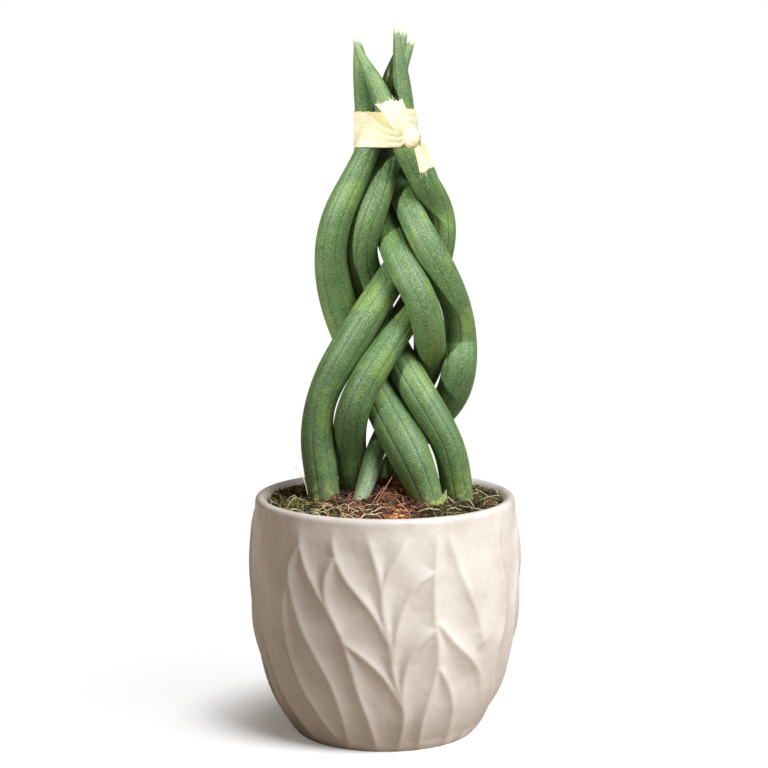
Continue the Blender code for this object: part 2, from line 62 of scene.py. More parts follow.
camera = new_object("camera", bpy.data.cameras.new("camera"))
camera.data.lens, camera.data.sensor_width = FOCAL_LENGTH, SENSOR
camera.location = CAMERA_PLACE
camera.rotation_euler = (math.pi / 2 - CAMERA_TILT, 0.0, 0.0)
bpy.context.scene.camera = camera
bpy.context.scene.view_settings.view_transform = "Standard"

# Studio: a pale floor that runs out into a white surround. One large soft lamp stands to the front
# right and above, a weaker one from the left lights the leaves only, and the room fills in warmly.
FLOOR_RADIUS, FLOOR_SIDES = 9.0, 96
FLOOR_SEEN, FLOOR_BOUNCE = (1.0, 1.0, 1.0), (0.33, 0.275, 0.22)
GLOW_NEAR, GLOW_FAR = 0.14, 0.92  # how much the floor glows by itself, in the pot's shade and past it
SHADE_REACH, FADE_REACH = (0.055, 0.125), (0.2, 0.8)
LAMP_TURN, LAMP_HEIGHT, LAMP_SPREAD = math.radians(53), math.radians(47), math.radians(42)
LAMP_POWER, LAMP_COLOUR = 5.9, (0.935, 0.965, 1.0)
SIDE_PLACE, SIDE_AIM, SIDE_CONE = (-0.95, -1.1, 0.72), (0.0, 0.0, 0.278), math.radians(10.2)
SIDE_POWER, SIDE_SIZE, SIDE_BLEND = 130.0, 0.04, 0.8
ROOM_FILL, ROOM_POWER = (1.0, 0.79, 0.6, 1.0), 0.175
WHITE = (1.0, 1.0, 1.0, 1.0)


class Wire:
    """One output of a shader node. Arithmetic on wires adds Math nodes to the same tree."""

    def __init__(self, tree, socket=None):
        self.tree, self.socket = tree, socket

    def node(self, kind, inputs=None, output=0, **settings):
        """A node with these settings. Its sockets are set or linked, by name or by number."""
        made = self.tree.nodes.new(kind)
        for name, value in settings.items():
            setattr(made, name, value)
        for name, value in (inputs or {}).items():
            if isinstance(value, Wire):
                self.tree.links.new(value.socket, made.inputs[name])
            else:
                made.inputs[name].default_value = value
        return Wire(self.tree, made.outputs[output])

    def into(self, name, socket):
        """Links this output to a socket of the node of that name."""
        self.tree.links.new(self.socket, self.tree.nodes[name].inputs[socket])

    def math(self, operation, *values):
        return self.node("ShaderNodeMath", dict(enumerate(values)), operation=operation)

    def __add__(self, other):
        return self.math("ADD", self, other)

    def __sub__(self, other):
        return self.math("SUBTRACT", self, other)

    def __rsub__(self, other):
        return self.math("SUBTRACT", other, self)

    def __mul__(self, other):
        return self.math("MULTIPLY", self, other)

    __radd__, __rmul__ = __add__, __mul__

    def stretch(self, *by):
        """This vector, each part multiplied by its own number."""
        return self.node("ShaderNodeVectorMath", {0: self, 1: by}, operation="MULTIPLY")

    def step(self, low, high):
        """0 below low and 1 above high, smoothly between."""
        return self.node("ShaderNodeMapRange", {"Value": self, "From Min": low, "From Max": high},
                         interpolation_type="SMOOTHSTEP")

    def ramp(self, stops):
        """The colour at this value between (place, colour) stops."""
        made = self.node("ShaderNodeValToRGB", {0: self})
        elements = made.socket.node.color_ramp.elements
        while len(elements) < len(stops):
            elements.new(0.5)
        for element, (place, colour) in zip(elements, stops):
            element.position, element.color = place, (*colour, 1.0)
        return made


def new_finish(name):
    """An empty Principled material and a wire that starts its node tree."""
    finish = bpy.data.materials.new(name)
    finish.use_nodes = True
    return finish, Wire(finish.node_tree)


def blend(factor, one, two):
    """Colour one where the factor is 0 and colour two where it is 1."""
    one, two = ((*value, 1.0) if isinstance(value, tuple) else value for value in (one, two))
    return factor.node("ShaderNodeMix", {0: factor, 6: one, 7: two}, 2, data_type="RGBA")


def grain(place, scale, detail=2.0, rough=0.5):
    """Noise from about 0.3 to 0.7, at so many waves to a unit of the place."""
    return place.node("ShaderNodeTexNoise",
                      {"Vector": place, "Scale": scale, "Detail": detail, "Roughness": rough})


def make_studio():
    finish, start = new_finish("floor")
    seen = start.node("ShaderNodeLightPath")
    place = start.node("ShaderNodeNewGeometry")
    away = place.node("ShaderNodeVectorMath", {0: place}, 1, operation="LENGTH")
    share = (GLOW_NEAR + (GLOW_FAR - GLOW_NEAR) * away.step(*SHADE_REACH)
             + (1.0 - GLOW_FAR) * away.step(*FADE_REACH))
    flat = start.node("ShaderNodeBsdfDiffuse", {"Color": blend(seen, FLOOR_BOUNCE, FLOOR_SEEN)})
    glow = start.node("ShaderNodeEmission")
    mixed = start.node("ShaderNodeMixShader", {0: share * seen, 1: flat, 2: glow})
    mixed.into("Material Output", "Surface")
    bpy.ops.mesh.primitive_circle_add(vertices=FLOOR_SIDES, radius=FLOOR_RADIUS, fill_type="NGON")
    floor = bpy.context.object
    floor.name = "floor"
    floor.data.materials.append(finish)

    lamp = new_object("lamp", bpy.data.lights.new("lamp", "SUN"))
    lamp.data.energy, lamp.data.color, lamp.data.angle = LAMP_POWER, LAMP_COLOUR, LAMP_SPREAD
    lamp.rotation_euler = (math.pi / 2 - LAMP_HEIGHT, 0.0, LAMP_TURN)

    side = new_object("side_lamp", bpy.data.lights.new("side_lamp", "SPOT"))
    side.data.energy, side.data.spot_size, side.data.spot_blend = SIDE_POWER, SIDE_CONE, SIDE_BLEND
    side.data.shadow_soft_size = SIDE_SIZE
    side.location = SIDE_PLACE
    side.rotation_euler = (Vector(SIDE_AIM) - side.location).to_track_quat("-Z", "Y").to_euler()

    world = bpy.data.worlds.new("room")
    world.use_nodes = True
    start = Wire(world.node_tree)
    seen = start.node("ShaderNodeLightPath")
    fill = start.node("ShaderNodeBackground", {"Color": ROOM_FILL, "Strength": ROOM_POWER})
    white = start.node("ShaderNodeBackground", {"Color": WHITE})
    start.node("ShaderNodeMixShader", {0: seen, 1: fill, 2: white}).into("World Output", "Surface")
    bpy.context.scene.world = world


make_studio()

# Pot: one turned shell of fired clay under a cream glaze. Leaf-shaped scoops are sunk into its
# outer wall between crests that run down from a plain lip. The underside stands bare of glaze.
# Painted light brightens the inside under the lip, with a paler glaze and a faint glow.
MM = 0.001
POT_INNER = [(45.4, 8.0), (52.2, 14.0), (57.8, 28.0), (62.2, 48.0), (63.5, 75.0),
             (62.6, 100.0), (60.6, 114.0), (60.6, 120.0), (62.6, 122.8)]
POT_OUTER = [(64.8, 123.5), (66.6, 122.4), (67.3, 119.5), (68.7, 112.0), (70.0, 102.0),
             (70.6, 93.0), (70.7, 84.0), (70.3, 72.0), (69.1, 56.0), (65.7, 40.0),
             (61.1, 24.0), (55.9, 13.0), (51.2, 5.5), (48.4, 2.0), (46.5, 0.0)]
LIP_POINT, WALL_POINT = 6, len(POT_INNER) + 1  # the profile's points where lip and wall start
POT_STEPS = 420  # facets round the pot
HIDDEN_ROWS, LIP_ROWS, WALL_ROWS = 12, 22, 186
PAINTED_LIGHT_ROWS = HIDDEN_ROWS + 3  # rows of the inside that get painted light, a paler glaze and a glow
WARP, WARP_WAVE = 0.0022, 17.0  # how far the clay is out of round, and over what distance
RELIEF_SECTORS = 3
RELIEF_DEPTH, RELIEF_WIDTH, RELIEF_ROUND = 1.9, 3.2, 0.4
RELIEF_RADIUS = 68.0
RELIEF_TOP, RELIEF_FULL, RELIEF_FOOT = 121.5, 104.0, 6.0
CREST_WIDTH = 1.6
FAR_OFF = 1e9  # stands for no limit
CRESTS = [  # (degrees from the front, height) in a third of the wall
    [(-39, 122), (-38, 108), (-33, 94), (-25, 79), (-18, 63), (-15, 50), (-12, 34), (-8, 18), (-5, 0)],
    [(-22, 122), (-22, 110), (-15, 92), (-5, 77), (2, 60)],
    [(-21, 104), (-25, 94), (-25, 83), (-21, 71)],
    [(-9, 122), (-5, 106), (-2, 93), (-1, 80)],
    [(11, 120), (5, 105), (0, 93), (-1, 80), (2, 60), (4, 43), (8, 28), (9, 16), (7, 0)],
    [(-17, 61), (-7, 52), (1, 41), (8, 27)],
    [(-38, 108), (-43, 99), (-43, 88), (-39, 72), (-32, 55), (-26, 41), (-22, 25), (-22, 0)],
    [(-43, 92), (-47, 76), (-46, 56), (-43, 40), (-37, 25), (-29, 8)],
    [(21, 97), (14, 92), (7, 78), (4, 62), (3, 50)],
    [(23, 120), (21, 98), (21, 72), (23, 48), (21, 34), (19, 18), (20, 0)],
    [(21, 68), (12, 57), (8, 42), (8, 28)],
    [(23, 48), (30, 36), (35, 20), (38, 0)],
    [(28, 114), (33, 94), (40, 77), (46, 58)],
    [(23, 70), (32, 58), (42, 47), (49, 36), (51, 22), (49, 0)],
    [(57, 122), (56, 106), (59, 86), (61, 66), (58, 50), (60, 34), (66, 19), (75, 0)],
]
GLAZE, GLAZE_SHADE, GLAZE_TAN = (0.68, 0.625, 0.575), (0.59, 0.53, 0.48), (0.56, 0.45, 0.35)
# Painted light: the inside rows take a paler glaze than the outside, standing for light inside the rim.
INSIDE_PAINTED_LIGHT, BARE_CLAY = (0.9, 0.85, 0.8), (0.62, 0.5, 0.38)
INSIDE_PAINTED_GLOW = 0.28  # painted light: a glow that stands for the light that bounces about inside the rim


def coats(colour, *layers):
    """A colour with others over it, each laid on as far as its share says."""
    for share, over in layers:
        colour = blend(share, colour, over)
    return colour


def dress(finish, colour, rough, others):
    """Sets or links the sockets of a finish's Principled shader."""
    for name, value in {"Base Color": colour, "Roughness": rough, **others}.items():
        if isinstance(value, Wire):
            value.into("Principled BSDF", name)
        else:
            finish.node_tree.nodes["Principled BSDF"].inputs[name].default_value = value


def own_place(start):
    """Where each point of a piece lies, in metres."""
    return start.node("ShaderNodeTexCoord", output=3)


def read(start, name, output=2):
    """What a mesh carries under a name at each point: a number from output 2, a vector from 1."""
    return start.node("ShaderNodeAttribute", output=output, attribute_name=name)


def bump(height, depth):
    """A normal from a height that varies by one unit over the given depth in millimetres."""
    return height.node("ShaderNodeBump", {"Height": height, "Distance": depth * MM})


def new_piece(name, points, faces, finish, carried=None, stands_for=(), angle=50.0):
    """A smooth piece from points in millimetres, which rides on the plant as one of its parts."""
    mesh = bpy.data.meshes.new(name)
    mesh.from_pydata((np.asarray(points) * MM).tolist(), [], faces)
    for label, values in (carried or {}).items():
        values = np.asarray(values, np.float32)
        kind, field = ("FLOAT_VECTOR", "vector") if values.ndim == 2 else ("FLOAT", "value")
        mesh.attributes.new(label, kind, "POINT").data.foreach_set(field, values.ravel())
    mesh.materials.append(finish)
    mesh.shade_smooth()
    mesh.set_sharp_from_angle(angle=math.radians(angle))
    piece = new_object(name, mesh)
    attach(piece, "root")
    if stands_for:
        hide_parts(*stands_for)


def around(count):
    """Even steps round a full turn."""
    return np.linspace(0.0, 2.0 * math.pi, count, endpoint=False)


def skin(rows, sides):
    """Faces over closed rings of points, ring after ring, and over both ends."""
    index = np.arange(rows * sides).reshape(rows, sides)
    ahead = np.roll(index, -1, axis=1)
    faces = np.stack([index[:-1], ahead[:-1], ahead[1:], index[1:]], axis=-1).reshape(-1, 4).tolist()
    return faces + [index[0, ::-1].tolist(), index[-1].tolist()]


def lengths(points):
    """How far along a line each of its points lies."""
    return np.concatenate([[0.0], np.cumsum(np.linalg.norm(np.diff(points, axis=0), axis=1))])


def smooth_curve(knots, values, at):
    """A natural cubic spline through values at the knots, read at the given places."""
    knots, values = np.array(knots, float), np.array(values, float)
    step, count = np.diff(knots), len(knots)
    system, right = np.eye(count), np.zeros_like(values)
    for i in range(1, count - 1):
        system[i, i - 1:i + 2] = step[i - 1], 2.0 * (step[i - 1] + step[i]), step[i]
        before = (values[i] - values[i - 1]) / step[i - 1]
        after = (values[i + 1] - values[i]) / step[i]
        right[i] = 6.0 * (after - before)
    bend = np.linalg.solve(system, right)
    low = np.clip(np.searchsorted(knots, at) - 1, 0, count - 2)
    a, b, h = (at - knots[low])[:, None], (knots[low + 1] - at)[:, None], step[low][:, None]
    return (bend[low] * b ** 3 + bend[low + 1] * a ** 3) / (6.0 * h) \
        + (values[low] / h - bend[low] * h / 6.0) * b \
        + (values[low + 1] / h - bend[low + 1] * h / 6.0) * a


def smooth(share):
    """A share held between 0 and 1, with a soft start and end."""
    share = np.clip(share, 0.0, 1.0)
    return share * share * (3.0 - 2.0 * share)


def crest_distance(turn, height):
    """How far each place on the wall lies from the nearest crest line."""
    sector = 2.0 * math.pi / RELIEF_SECTORS
    place = np.column_stack([turn * RELIEF_RADIUS, height])
    near = np.full(len(place), FAR_OFF)
    for shift in range(-2, RELIEF_SECTORS + 2):
        for crest in CRESTS:
            line = np.array([((math.radians(a) + shift * sector) * RELIEF_RADIUS, z) for a, z in crest])
            line = smooth_curve(lengths(line), line, np.linspace(0.0, lengths(line)[-1], 4 * len(line)))
            for start, end in zip(line[:-1], line[1:]):
                along = end - start
                t = np.clip(((place - start) @ along) / (along @ along), 0.0, 1.0)
                near = np.minimum(near, np.linalg.norm(place - start - t[:, None] * along, axis=1))
    return near


def make_pot():
    profile = np.array(POT_INNER + POT_OUTER)
    along = lengths(profile)
    lip, wall = along[LIP_POINT], along[WALL_POINT]
    at = np.concatenate([np.linspace(0.0, lip, HIDDEN_ROWS, endpoint=False),
                         np.linspace(lip, wall, LIP_ROWS, endpoint=False),
                         np.linspace(wall, along[-1], WALL_ROWS)])
    rows = smooth_curve(along, profile, at)
    turns = -around(POT_STEPS)
    turn, height = np.tile(turns, len(rows)), np.repeat(rows[:, 1], POT_STEPS)
    row, radius = np.repeat(np.arange(len(rows)), POT_STEPS), np.repeat(rows[:, 0], POT_STEPS)
    is_wall = row >= HIDDEN_ROWS + LIP_ROWS
    signed = np.arctan2(np.sin(turn), np.cos(turn))
    near = np.full(len(turn), FAR_OFF)
    near[is_wall] = crest_distance(signed[is_wall], height[is_wall])
    soft = np.hypot(near, RELIEF_ROUND) - RELIEF_ROUND
    fade = smooth((RELIEF_TOP - height) / (RELIEF_TOP - RELIEF_FULL))
    fade = fade * np.clip(height / RELIEF_FOOT, 0.0, 1.0)
    sunk = RELIEF_DEPTH * fade * (1.0 - np.exp(-soft / RELIEF_WIDTH))
    radius = radius - np.where(is_wall, sunk, 0.0)
    points = np.column_stack([radius * np.sin(turn), -radius * np.cos(turn), height])
    wave = np.array([noise.noise(Vector(p / WARP_WAVE)) for p in points])
    points[:, :2] *= (1.0 + WARP * wave)[:, None]

    finish, start = new_finish("cream_glaze")
    place = own_place(start)
    height_m = start.node("ShaderNodeSeparateXYZ", {0: place}, 2)
    cloud = grain(place, 55.0, 3.0).step(0.35, 0.7)
    low = 1.0 - height_m.step(0.0, 0.11)
    worn = read(start, "crest") * low * grain(place, 240.0, 3.0).step(0.42, 0.6)
    # The inside rows get painted light: a paler glaze here and a glow below.
    inside = read(start, "inside")
    specks = grain(place, 900.0, 1.0).step(0.765, 0.79)
    bare = 1.0 - height_m.step(0.0006, 0.0011)
    colour = coats(GLAZE, (cloud, GLAZE_SHADE), (worn * 0.35, GLAZE_TAN), (inside, INSIDE_PAINTED_LIGHT),
                   (specks * 0.5, GLAZE_TAN), (bare, BARE_CLAY))
    ripple = grain(place, 130.0) + 0.12 * grain(place, 900.0)
    # The emission on the inside rows is painted light.
    dress(finish, colour, 0.36 + 0.5 * bare, {
        "Coat Weight": 0.75 - 0.75 * bare, "Coat Roughness": 0.12, "Normal": bump(ripple, 0.35),
        "Emission Color": blend(inside, (0.0, 0.0, 0.0), INSIDE_PAINTED_LIGHT),
        "Emission Strength": INSIDE_PAINTED_GLOW})
    new_piece("glazed_pot", points, skin(len(rows), POT_STEPS), finish,
              {"crest": np.exp(-near / CREST_WIDTH), "inside": row < PAINTED_LIGHT_ROWS}, ["pot"])


make_pot()

# Soil: dark potting soil fills the pot under its cover. Only its own solid shows it, so that solid
# stays and gets crumbs of bark and a few pale grains in its colour.
SOIL_DARK, SOIL_LIGHT, SOIL_GRIT = (0.03, 0.019, 0.012), (0.095, 0.06, 0.036), (0.42, 0.38, 0.31)


def dress_soil():
    finish, start = new_finish("potting_soil")
    place = own_place(start)
    crumbs = grain(place, 420.0, 4.0, 0.7)
    grit = grain(place, 610.0, 0.0).step(0.74, 0.77)
    colour = coats(SOIL_DARK, (crumbs.step(0.35, 0.65), SOIL_LIGHT), (grit, SOIL_GRIT))
    dress(finish, colour, 0.95, {"Normal": bump(crumbs, 1.5)})
    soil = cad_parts["soil"]
    soil.data.materials.clear()
    soil.data.materials.append(finish)


dress_soil()

# Leaves: six round, fleshy leaves rise from the soil, plaited as three strands of two. Each has
# shallow lengthwise grooves, a dry blunt tip, cross bands of paler green and a waxy, speckled skin.
LEAF_HEIGHTS = [102, 116, 130, 150, 170, 190, 210, 230, 250, 270, 290, 305, 320, 335, 350]
LEAVES = {  # (x, y, radius) at those heights, then the tip's (x, y, height, radius)
    "leaf_a1": ([
        (25, -25, 7.2), (23.6, -24, 7.5), (19.8, -22, 8.7), (11.3, -18, 10.8), (-0.1, -3, 10.1),
        (-10.9, 6, 9.3), (-20.2, 9, 9.1), (-25.8, 3, 9.0), (-27.5, -7, 8.1), (-23.2, -13, 7.7),
        (-13.8, -11, 6.6), (-6.8, -9.2, 5.8), (0.5, -3.5, 5.4), (5.5, 2, 4.4), (11.3, 5.5, 2.5)
    ], (14, 6.5, 356, 1.3)),
    "leaf_a2": ([
        (39.8, -8, 7.0), (38.5, -9.5, 7.3), (36.6, -11.5, 8.1), (32.5, -14, 8.3), (22.2, -13, 8.6),
        (9.9, -4.5, 8.5), (-1.2, 10.5, 8.6), (-8.5, 12.5, 9.6), (-11.6, -1.5, 8.1),
        (-6.9, -10, 7.7), (0.2, -3.5, 6.4), (1.9, 5.5, 5.8), (1, 9, 5.3), (2.6, 11.5, 4.4),
        (7.6, 13, 2.8)
    ], (10.2, 13.5, 361, 1.2)),
    "leaf_b1": ([
        (-24, -36, 1.8), (-17.8, -29, 2.1), (-10.6, -21, 4.4), (-3.1, -5, 5.2), (12, 15, 7.3),
        (22.5, 9.5, 8.4), (23.0, -6, 8.3), (16.8, -15, 8.3), (6, -7, 7.9), (-1.2, 9.5, 7.4),
        (-10, 10, 6.6), (-9.2, 3, 5.6), (-10.1, 2, 5.0), (-12, -2, 3.9), (-13.8, -4, 2.1)
    ], (-14.3, -4.5, 354, 1.4)),
    "leaf_b2": ([
        (-1, 13, 6.4), (0.5, 12, 6.6), (2.5, 11, 6.8), (14, 13, 7.7), (31.3, 11, 8.6),
        (37.0, 4.5, 9.0), (37.4, 1, 8.1), (32.4, -8, 7.8), (22.4, -13.5, 8.0), (12.2, -5, 7.1),
        (2.5, 13.5, 6.6), (-4.5, 15.5, 5.8), (-8, 15, 5.1), (-9.5, 9, 3.9), (-12.5, 3, 2.2)
    ], (-13.5, 0.5, 356, 1.2)),
    "leaf_c1": ([
        (-10, 7, 6.6), (-12.2, 6, 7.3), (-15.4, 4, 8.1), (-18.2, -2, 8.6), (-16.0, -15, 8.5),
        (-6.7, -16, 8.3), (6.6, -6.5, 7.9), (19.7, 9.5, 8.2), (27.6, 5, 7.6), (27.3, 3.5, 7.3),
        (17, -10, 6.8), (9, -14, 6.2), (1.4, -15, 5.6), (-5, -13, 4.2), (-12.8, -10, 2.0)
    ], (-15.3, -9, 357, 1.2)),
    "leaf_c2": ([
        (-29.4, -9, 7.8), (-30.7, -8.5, 8.2), (-32.1, -8, 8.5), (-34.4, -7.5, 8.7),
        (-33.3, -9.5, 7.9), (-25.5, -12.5, 8.6), (-13.5, -14, 8.9), (-0.5, -7, 8.3),
        (13.8, 12, 8.0), (22, 17.5, 7.4), (19, 4.5, 6.6), (12.4, -2, 5.5), (10.2, -7, 4.8),
        (8.5, -8, 4.3), (6.7, -8.5, 2.8)
    ], (5.5, -8.5, 362, 1.2)),
}
LEAF_SAMPLES, EASE_ROUNDS = 79, 400
EASE_GAP = -0.4  # between two leaves; below 0, they press into each other
EASE_STEP, EASE_RATE, EASE_SIDEWAYS = 3.0, 0.25, 0.12
LEAF_RINGS, TIP_RINGS = 250, 7
GROOVES, GROOVE_PARTS = 8, 11
GROOVE_DEPTH, GROOVE_WIDTH = 0.026, 0.055  # shares of the leaf's radius, as the next two
SHOULDER_DEPTH, SHOULDER_WIDTH = 0.024, 0.22
SWELL, SWELL_WAVE = 0.012, 24.0
PATTERN_SHIFT = (31.0, 17.0, 53.0)  # from one leaf's patterns to the next one's
LEAF_DEEP, LEAF_MID, LEAF_PALE = (0.027, 0.075, 0.014), (0.073, 0.162, 0.036), (0.205, 0.3, 0.145)
LEAF_LIME, LEAF_GROOVE_SHADE, LEAF_EARTHY = (0.145, 0.24, 0.028), (0.026, 0.06, 0.016), (0.22, 0.21, 0.11)
FOOT_LIME, FOOT_BLANCHED = (0.3, 0.42, 0.08), (0.4, 0.5, 0.34)
TIP_DRY, TIP_DARK = (0.46, 0.52, 0.36), (0.22, 0.3, 0.14)


def leaf_line(stations, tip):
    """Points (x, y, z, radius) at even steps along the middle of one leaf."""
    rows = [(x, y, z, r) for (x, y, r), z in zip(stations, LEAF_HEIGHTS)] + [tip]
    heights = LEAF_HEIGHTS + [tip[2]]
    fine = smooth_curve(heights, rows, np.linspace(heights[0], heights[-1], 400))
    along = lengths(fine)
    at = np.linspace(0.0, along[-1], LEAF_SAMPLES)
    return np.column_stack([np.interp(at, along, fine[:, i]) for i in range(4)])


def ease_apart(lines):
    """Moves the leaves' middle lines until every two are about the gap apart.

    They move nearly all front to back, so the plait keeps its look from the front.
    """
    start, radius = lines[..., :3], lines[..., 3:]
    place = start.copy()
    own = np.arange(LEAF_SAMPLES)
    for _ in range(EASE_ROUNDS):
        push = np.zeros((len(lines), LEAF_SAMPLES, 2))
        for one, two in combinations(range(len(lines)), 2):
            apart = place[one][:, None] - place[two][None]
            need = radius[one] + radius[two].T + EASE_GAP
            far = np.maximum(np.linalg.norm(apart, axis=2), 1e-6)
            for axis, leaf, sign in ((1, one, 0.5), (0, two, -0.5)):
                worst = (need - far).argmax(axis)
                at = (own, worst) if axis == 1 else (worst, own)
                x, y, z = apart[at].T
                lack = np.maximum(need[at] - far[at], 0.0)
                deep = np.sqrt(np.maximum(need[at] ** 2 - x ** 2 - z ** 2, 0.0)) - np.abs(y)
                deep = np.where(lack > 0.0, np.minimum(deep, EASE_STEP), 0.0)
                push[leaf, :, 0] += sign * EASE_SIDEWAYS * lack * x / far[at]
                push[leaf, :, 1] += sign * np.copysign(deep, y)
        step = push[:, ::2].copy()
        step[:, :-1] += 0.5 * push[:, 1::2]
        step[:, 1:] += 0.5 * push[:, 1::2]
        moved = place[:, ::2, :2] + EASE_RATE * step - start[:, ::2, :2]
        moved[:, 1:-1] = 0.88 * moved[:, 1:-1] + 0.06 * (moved[:, :-2] + moved[:, 2:])
        place[:, ::2, :2] = start[:, ::2, :2] + moved
        place[:, 1::2] = 0.5 * (place[:, :-1:2] + place[:, 2::2])
    return np.concatenate([place, radius], axis=2)


def unit(vectors, spare=0.0):
    """Vectors of length 1. A spare length keeps the shortest from dividing by nothing."""
    return vectors / (np.linalg.norm(vectors, axis=-1, keepdims=True) + spare)


def grid_of(*parts):
    """Points on a grid, from parts that run along it, across it or both."""
    return np.stack(np.broadcast_arrays(*parts), -1)


def make_leaf(name, line, number):
    """One leaf as a grooved tube along its line, rounded over at the tip."""
    draw = random.Random(40 + number)
    knots = line[::2]
    along = lengths(knots[:, :3])
    total = along[-1]
    close = total - knots[-1, 3] * (1.0 - np.sin(np.linspace(0.0, math.pi / 2, TIP_RINGS)))
    at = np.concatenate([np.linspace(0.0, close[0], LEAF_RINGS, endpoint=False), close])
    rows = smooth_curve(along, knots, at)
    cap = np.clip((at - close[0]) / (total - close[0]), 0.0, 1.0)
    reach = rows[:, 3] * np.sqrt(np.maximum(1.0 - cap ** 2, 0.0015))

    forward = unit(np.gradient(rows[:, :3], at, axis=0))
    side = unit(np.cross((0.0, 1.0, 0.0), forward))
    back = np.cross(forward, side)

    even = 2.0 * math.pi / GROOVES
    lines_at = np.array([even * (i + draw.uniform(-0.17, 0.17)) for i in range(GROOVES)])
    part = np.arange(GROOVE_PARTS) / GROOVE_PARTS
    part = part - 0.72 * np.sin(2.0 * math.pi * part) / (2.0 * math.pi)
    spans = np.append(lines_at[1:], lines_at[0] + 2.0 * math.pi) - lines_at
    turns = (lines_at[:, None] + spans[:, None] * part[None]).ravel()
    to_groove = (np.minimum(part, 1.0 - part)[None] * spans[:, None]).ravel()
    strength = np.repeat([draw.uniform(0.6, 1.15) for _ in lines_at], GROOVE_PARTS)
    gap = to_groove[None] * reach[:, None]
    size = np.maximum(reach, 0.4)[:, None]
    groove = np.exp(-(gap / (GROOVE_WIDTH * size)) ** 2)
    shoulder = np.exp(-(gap / (SHOULDER_WIDTH * size)) ** 2)
    sunk = strength[None] * (GROOVE_DEPTH * groove + SHOULDER_DEPTH * shoulder)
    waves = np.array([noise.noise(Vector((a / SWELL_WAVE, number * 7.7, 0.0))) for a in at])
    radius = reach[:, None] * (1.0 - sunk + SWELL * waves[:, None])
    twist = draw.uniform(0.0, 6.28) + draw.uniform(-0.35, 0.35) * at / total
    swing = turns[None] + twist[:, None]
    cos, sin = np.cos(swing)[..., None], np.sin(swing)[..., None]
    points = rows[:, None, :3] + radius[..., None] * (cos * side[:, None] + sin * back[:, None])
    flat = grid_of(radius * cos[..., 0], radius * sin[..., 0], at[:, None])
    carried = {
        "unrolled": flat.reshape(-1, 3) + number * np.array(PATTERN_SHIFT),
        "groove": (groove * strength[None]).ravel(),
        "to_tip": np.repeat(total - at, len(turns)),
        "height": points[..., 2].ravel(),
        "tint": np.full(radius.size, draw.random()),
        "blanched": np.full(radius.size, float(name == "leaf_b1")),
    }
    new_piece("green_" + name, points.reshape(-1, 3), skin(*radius.shape), green,
              carried, [name], 180.0)


def leaf_finish():
    """Waxy green skin: dusty speckles over cross bands, with painted shade in the grooves."""
    finish, start = new_finish("leaf_green")
    flat = read(start, "unrolled", 1)
    bands = grain(flat.stretch(0.045, 0.045, 0.11), 1.0, 4.0, 0.55)
    patches = grain(flat, 0.06, 3.0)
    streaks = grain(flat.stretch(0.55, 0.55, 0.035), 1.0, 3.0)
    dust = grain(flat, 2.1, 2.0, 0.6)
    tone = bands.step(0.32, 0.7) * 0.55 + streaks.step(0.3, 0.7) * 0.22 + read(start, "tint") * 0.16

    ragged = read(start, "height") + 9.0 * (grain(flat, 0.22, 3.0) - 0.5)
    foot = 1.0 - ragged.step(121.0, 137.0)
    spots = grain(flat, 0.3).step(0.48, 0.6)
    pale = read(start, "blanched") * (1.0 - ragged.step(118.0, 148.0)) * dust.step(0.25, 0.6)

    to_tip = read(start, "to_tip") + 3.0 * (grain(flat, 0.5) - 0.5)
    ring = to_tip.step(3.0, 3.8) * (1.0 - to_tip.step(4.0, 5.6))

    colour = coats(LEAF_DEEP, (tone, LEAF_MID), (patches.step(0.48, 0.62) * 0.7, LEAF_LIME),
                   (dust.step(0.47, 0.6) * 0.68, LEAF_PALE),
                   ((1.0 - dust.step(0.38, 0.49)) * 0.75, LEAF_DEEP),
                   # Painted shade: the grooves are darkened by their depth.
                   (read(start, "groove").step(0.25, 1.0) * 0.62, LEAF_GROOVE_SHADE),
                   (foot * 0.45, LEAF_EARTHY), (foot * spots * 0.95, FOOT_LIME),
                   (pale * 0.92, FOOT_BLANCHED), ((1.0 - to_tip.step(3.0, 22.0)) * 0.35, LEAF_PALE),
                   (1.0 - to_tip.step(1.5, 3.6), TIP_DRY), (ring * 0.5, TIP_DARK))
    rough = 0.52 + 0.18 * dust.step(0.35, 0.7) + 0.2 * foot
    fine = dust * 0.5 + streaks * 0.35 + grain(flat, 3.2) * 0.35
    dress(finish, colour, rough,
          {"Normal": bump(fine, 0.16), "Coat Weight": 0.12, "Coat Roughness": 0.42})
    return finish


leaf_lines = ease_apart(np.array([leaf_line(*leaf) for leaf in LEAVES.values()]))
green = leaf_finish()
for number, name in enumerate(LEAVES):
    make_leaf(name, leaf_lines[number], number)

# Sheath: a torn pale scrap of leaf skin that stands up at the foot of the right-hand leaf. It is
# one thin flake with a ragged upper edge.
SHEATH = [(27.6, 123.6), (32.4, 123.6), (31.6, 126.2), (31.2, 130.6), (30.0, 128.4), (28.7, 126.8)]
SHEATH_FRONT, SHEATH_BACK = -22.8, -22.2
SHEATH_COLOUR = (0.4, 0.5, 0.33)


def make_sheath():
    finish, start = new_finish("leaf_sheath")
    dress(finish, blend(grain(own_place(start), 900.0), SHEATH_COLOUR, FOOT_LIME), 0.7, {})
    points = [(x, y, z) for y in (SHEATH_FRONT, SHEATH_BACK) for x, z in SHEATH]
    new_piece("leaf_sheath", points, skin(2, len(SHEATH)), finish, angle=30.0)


make_sheath()

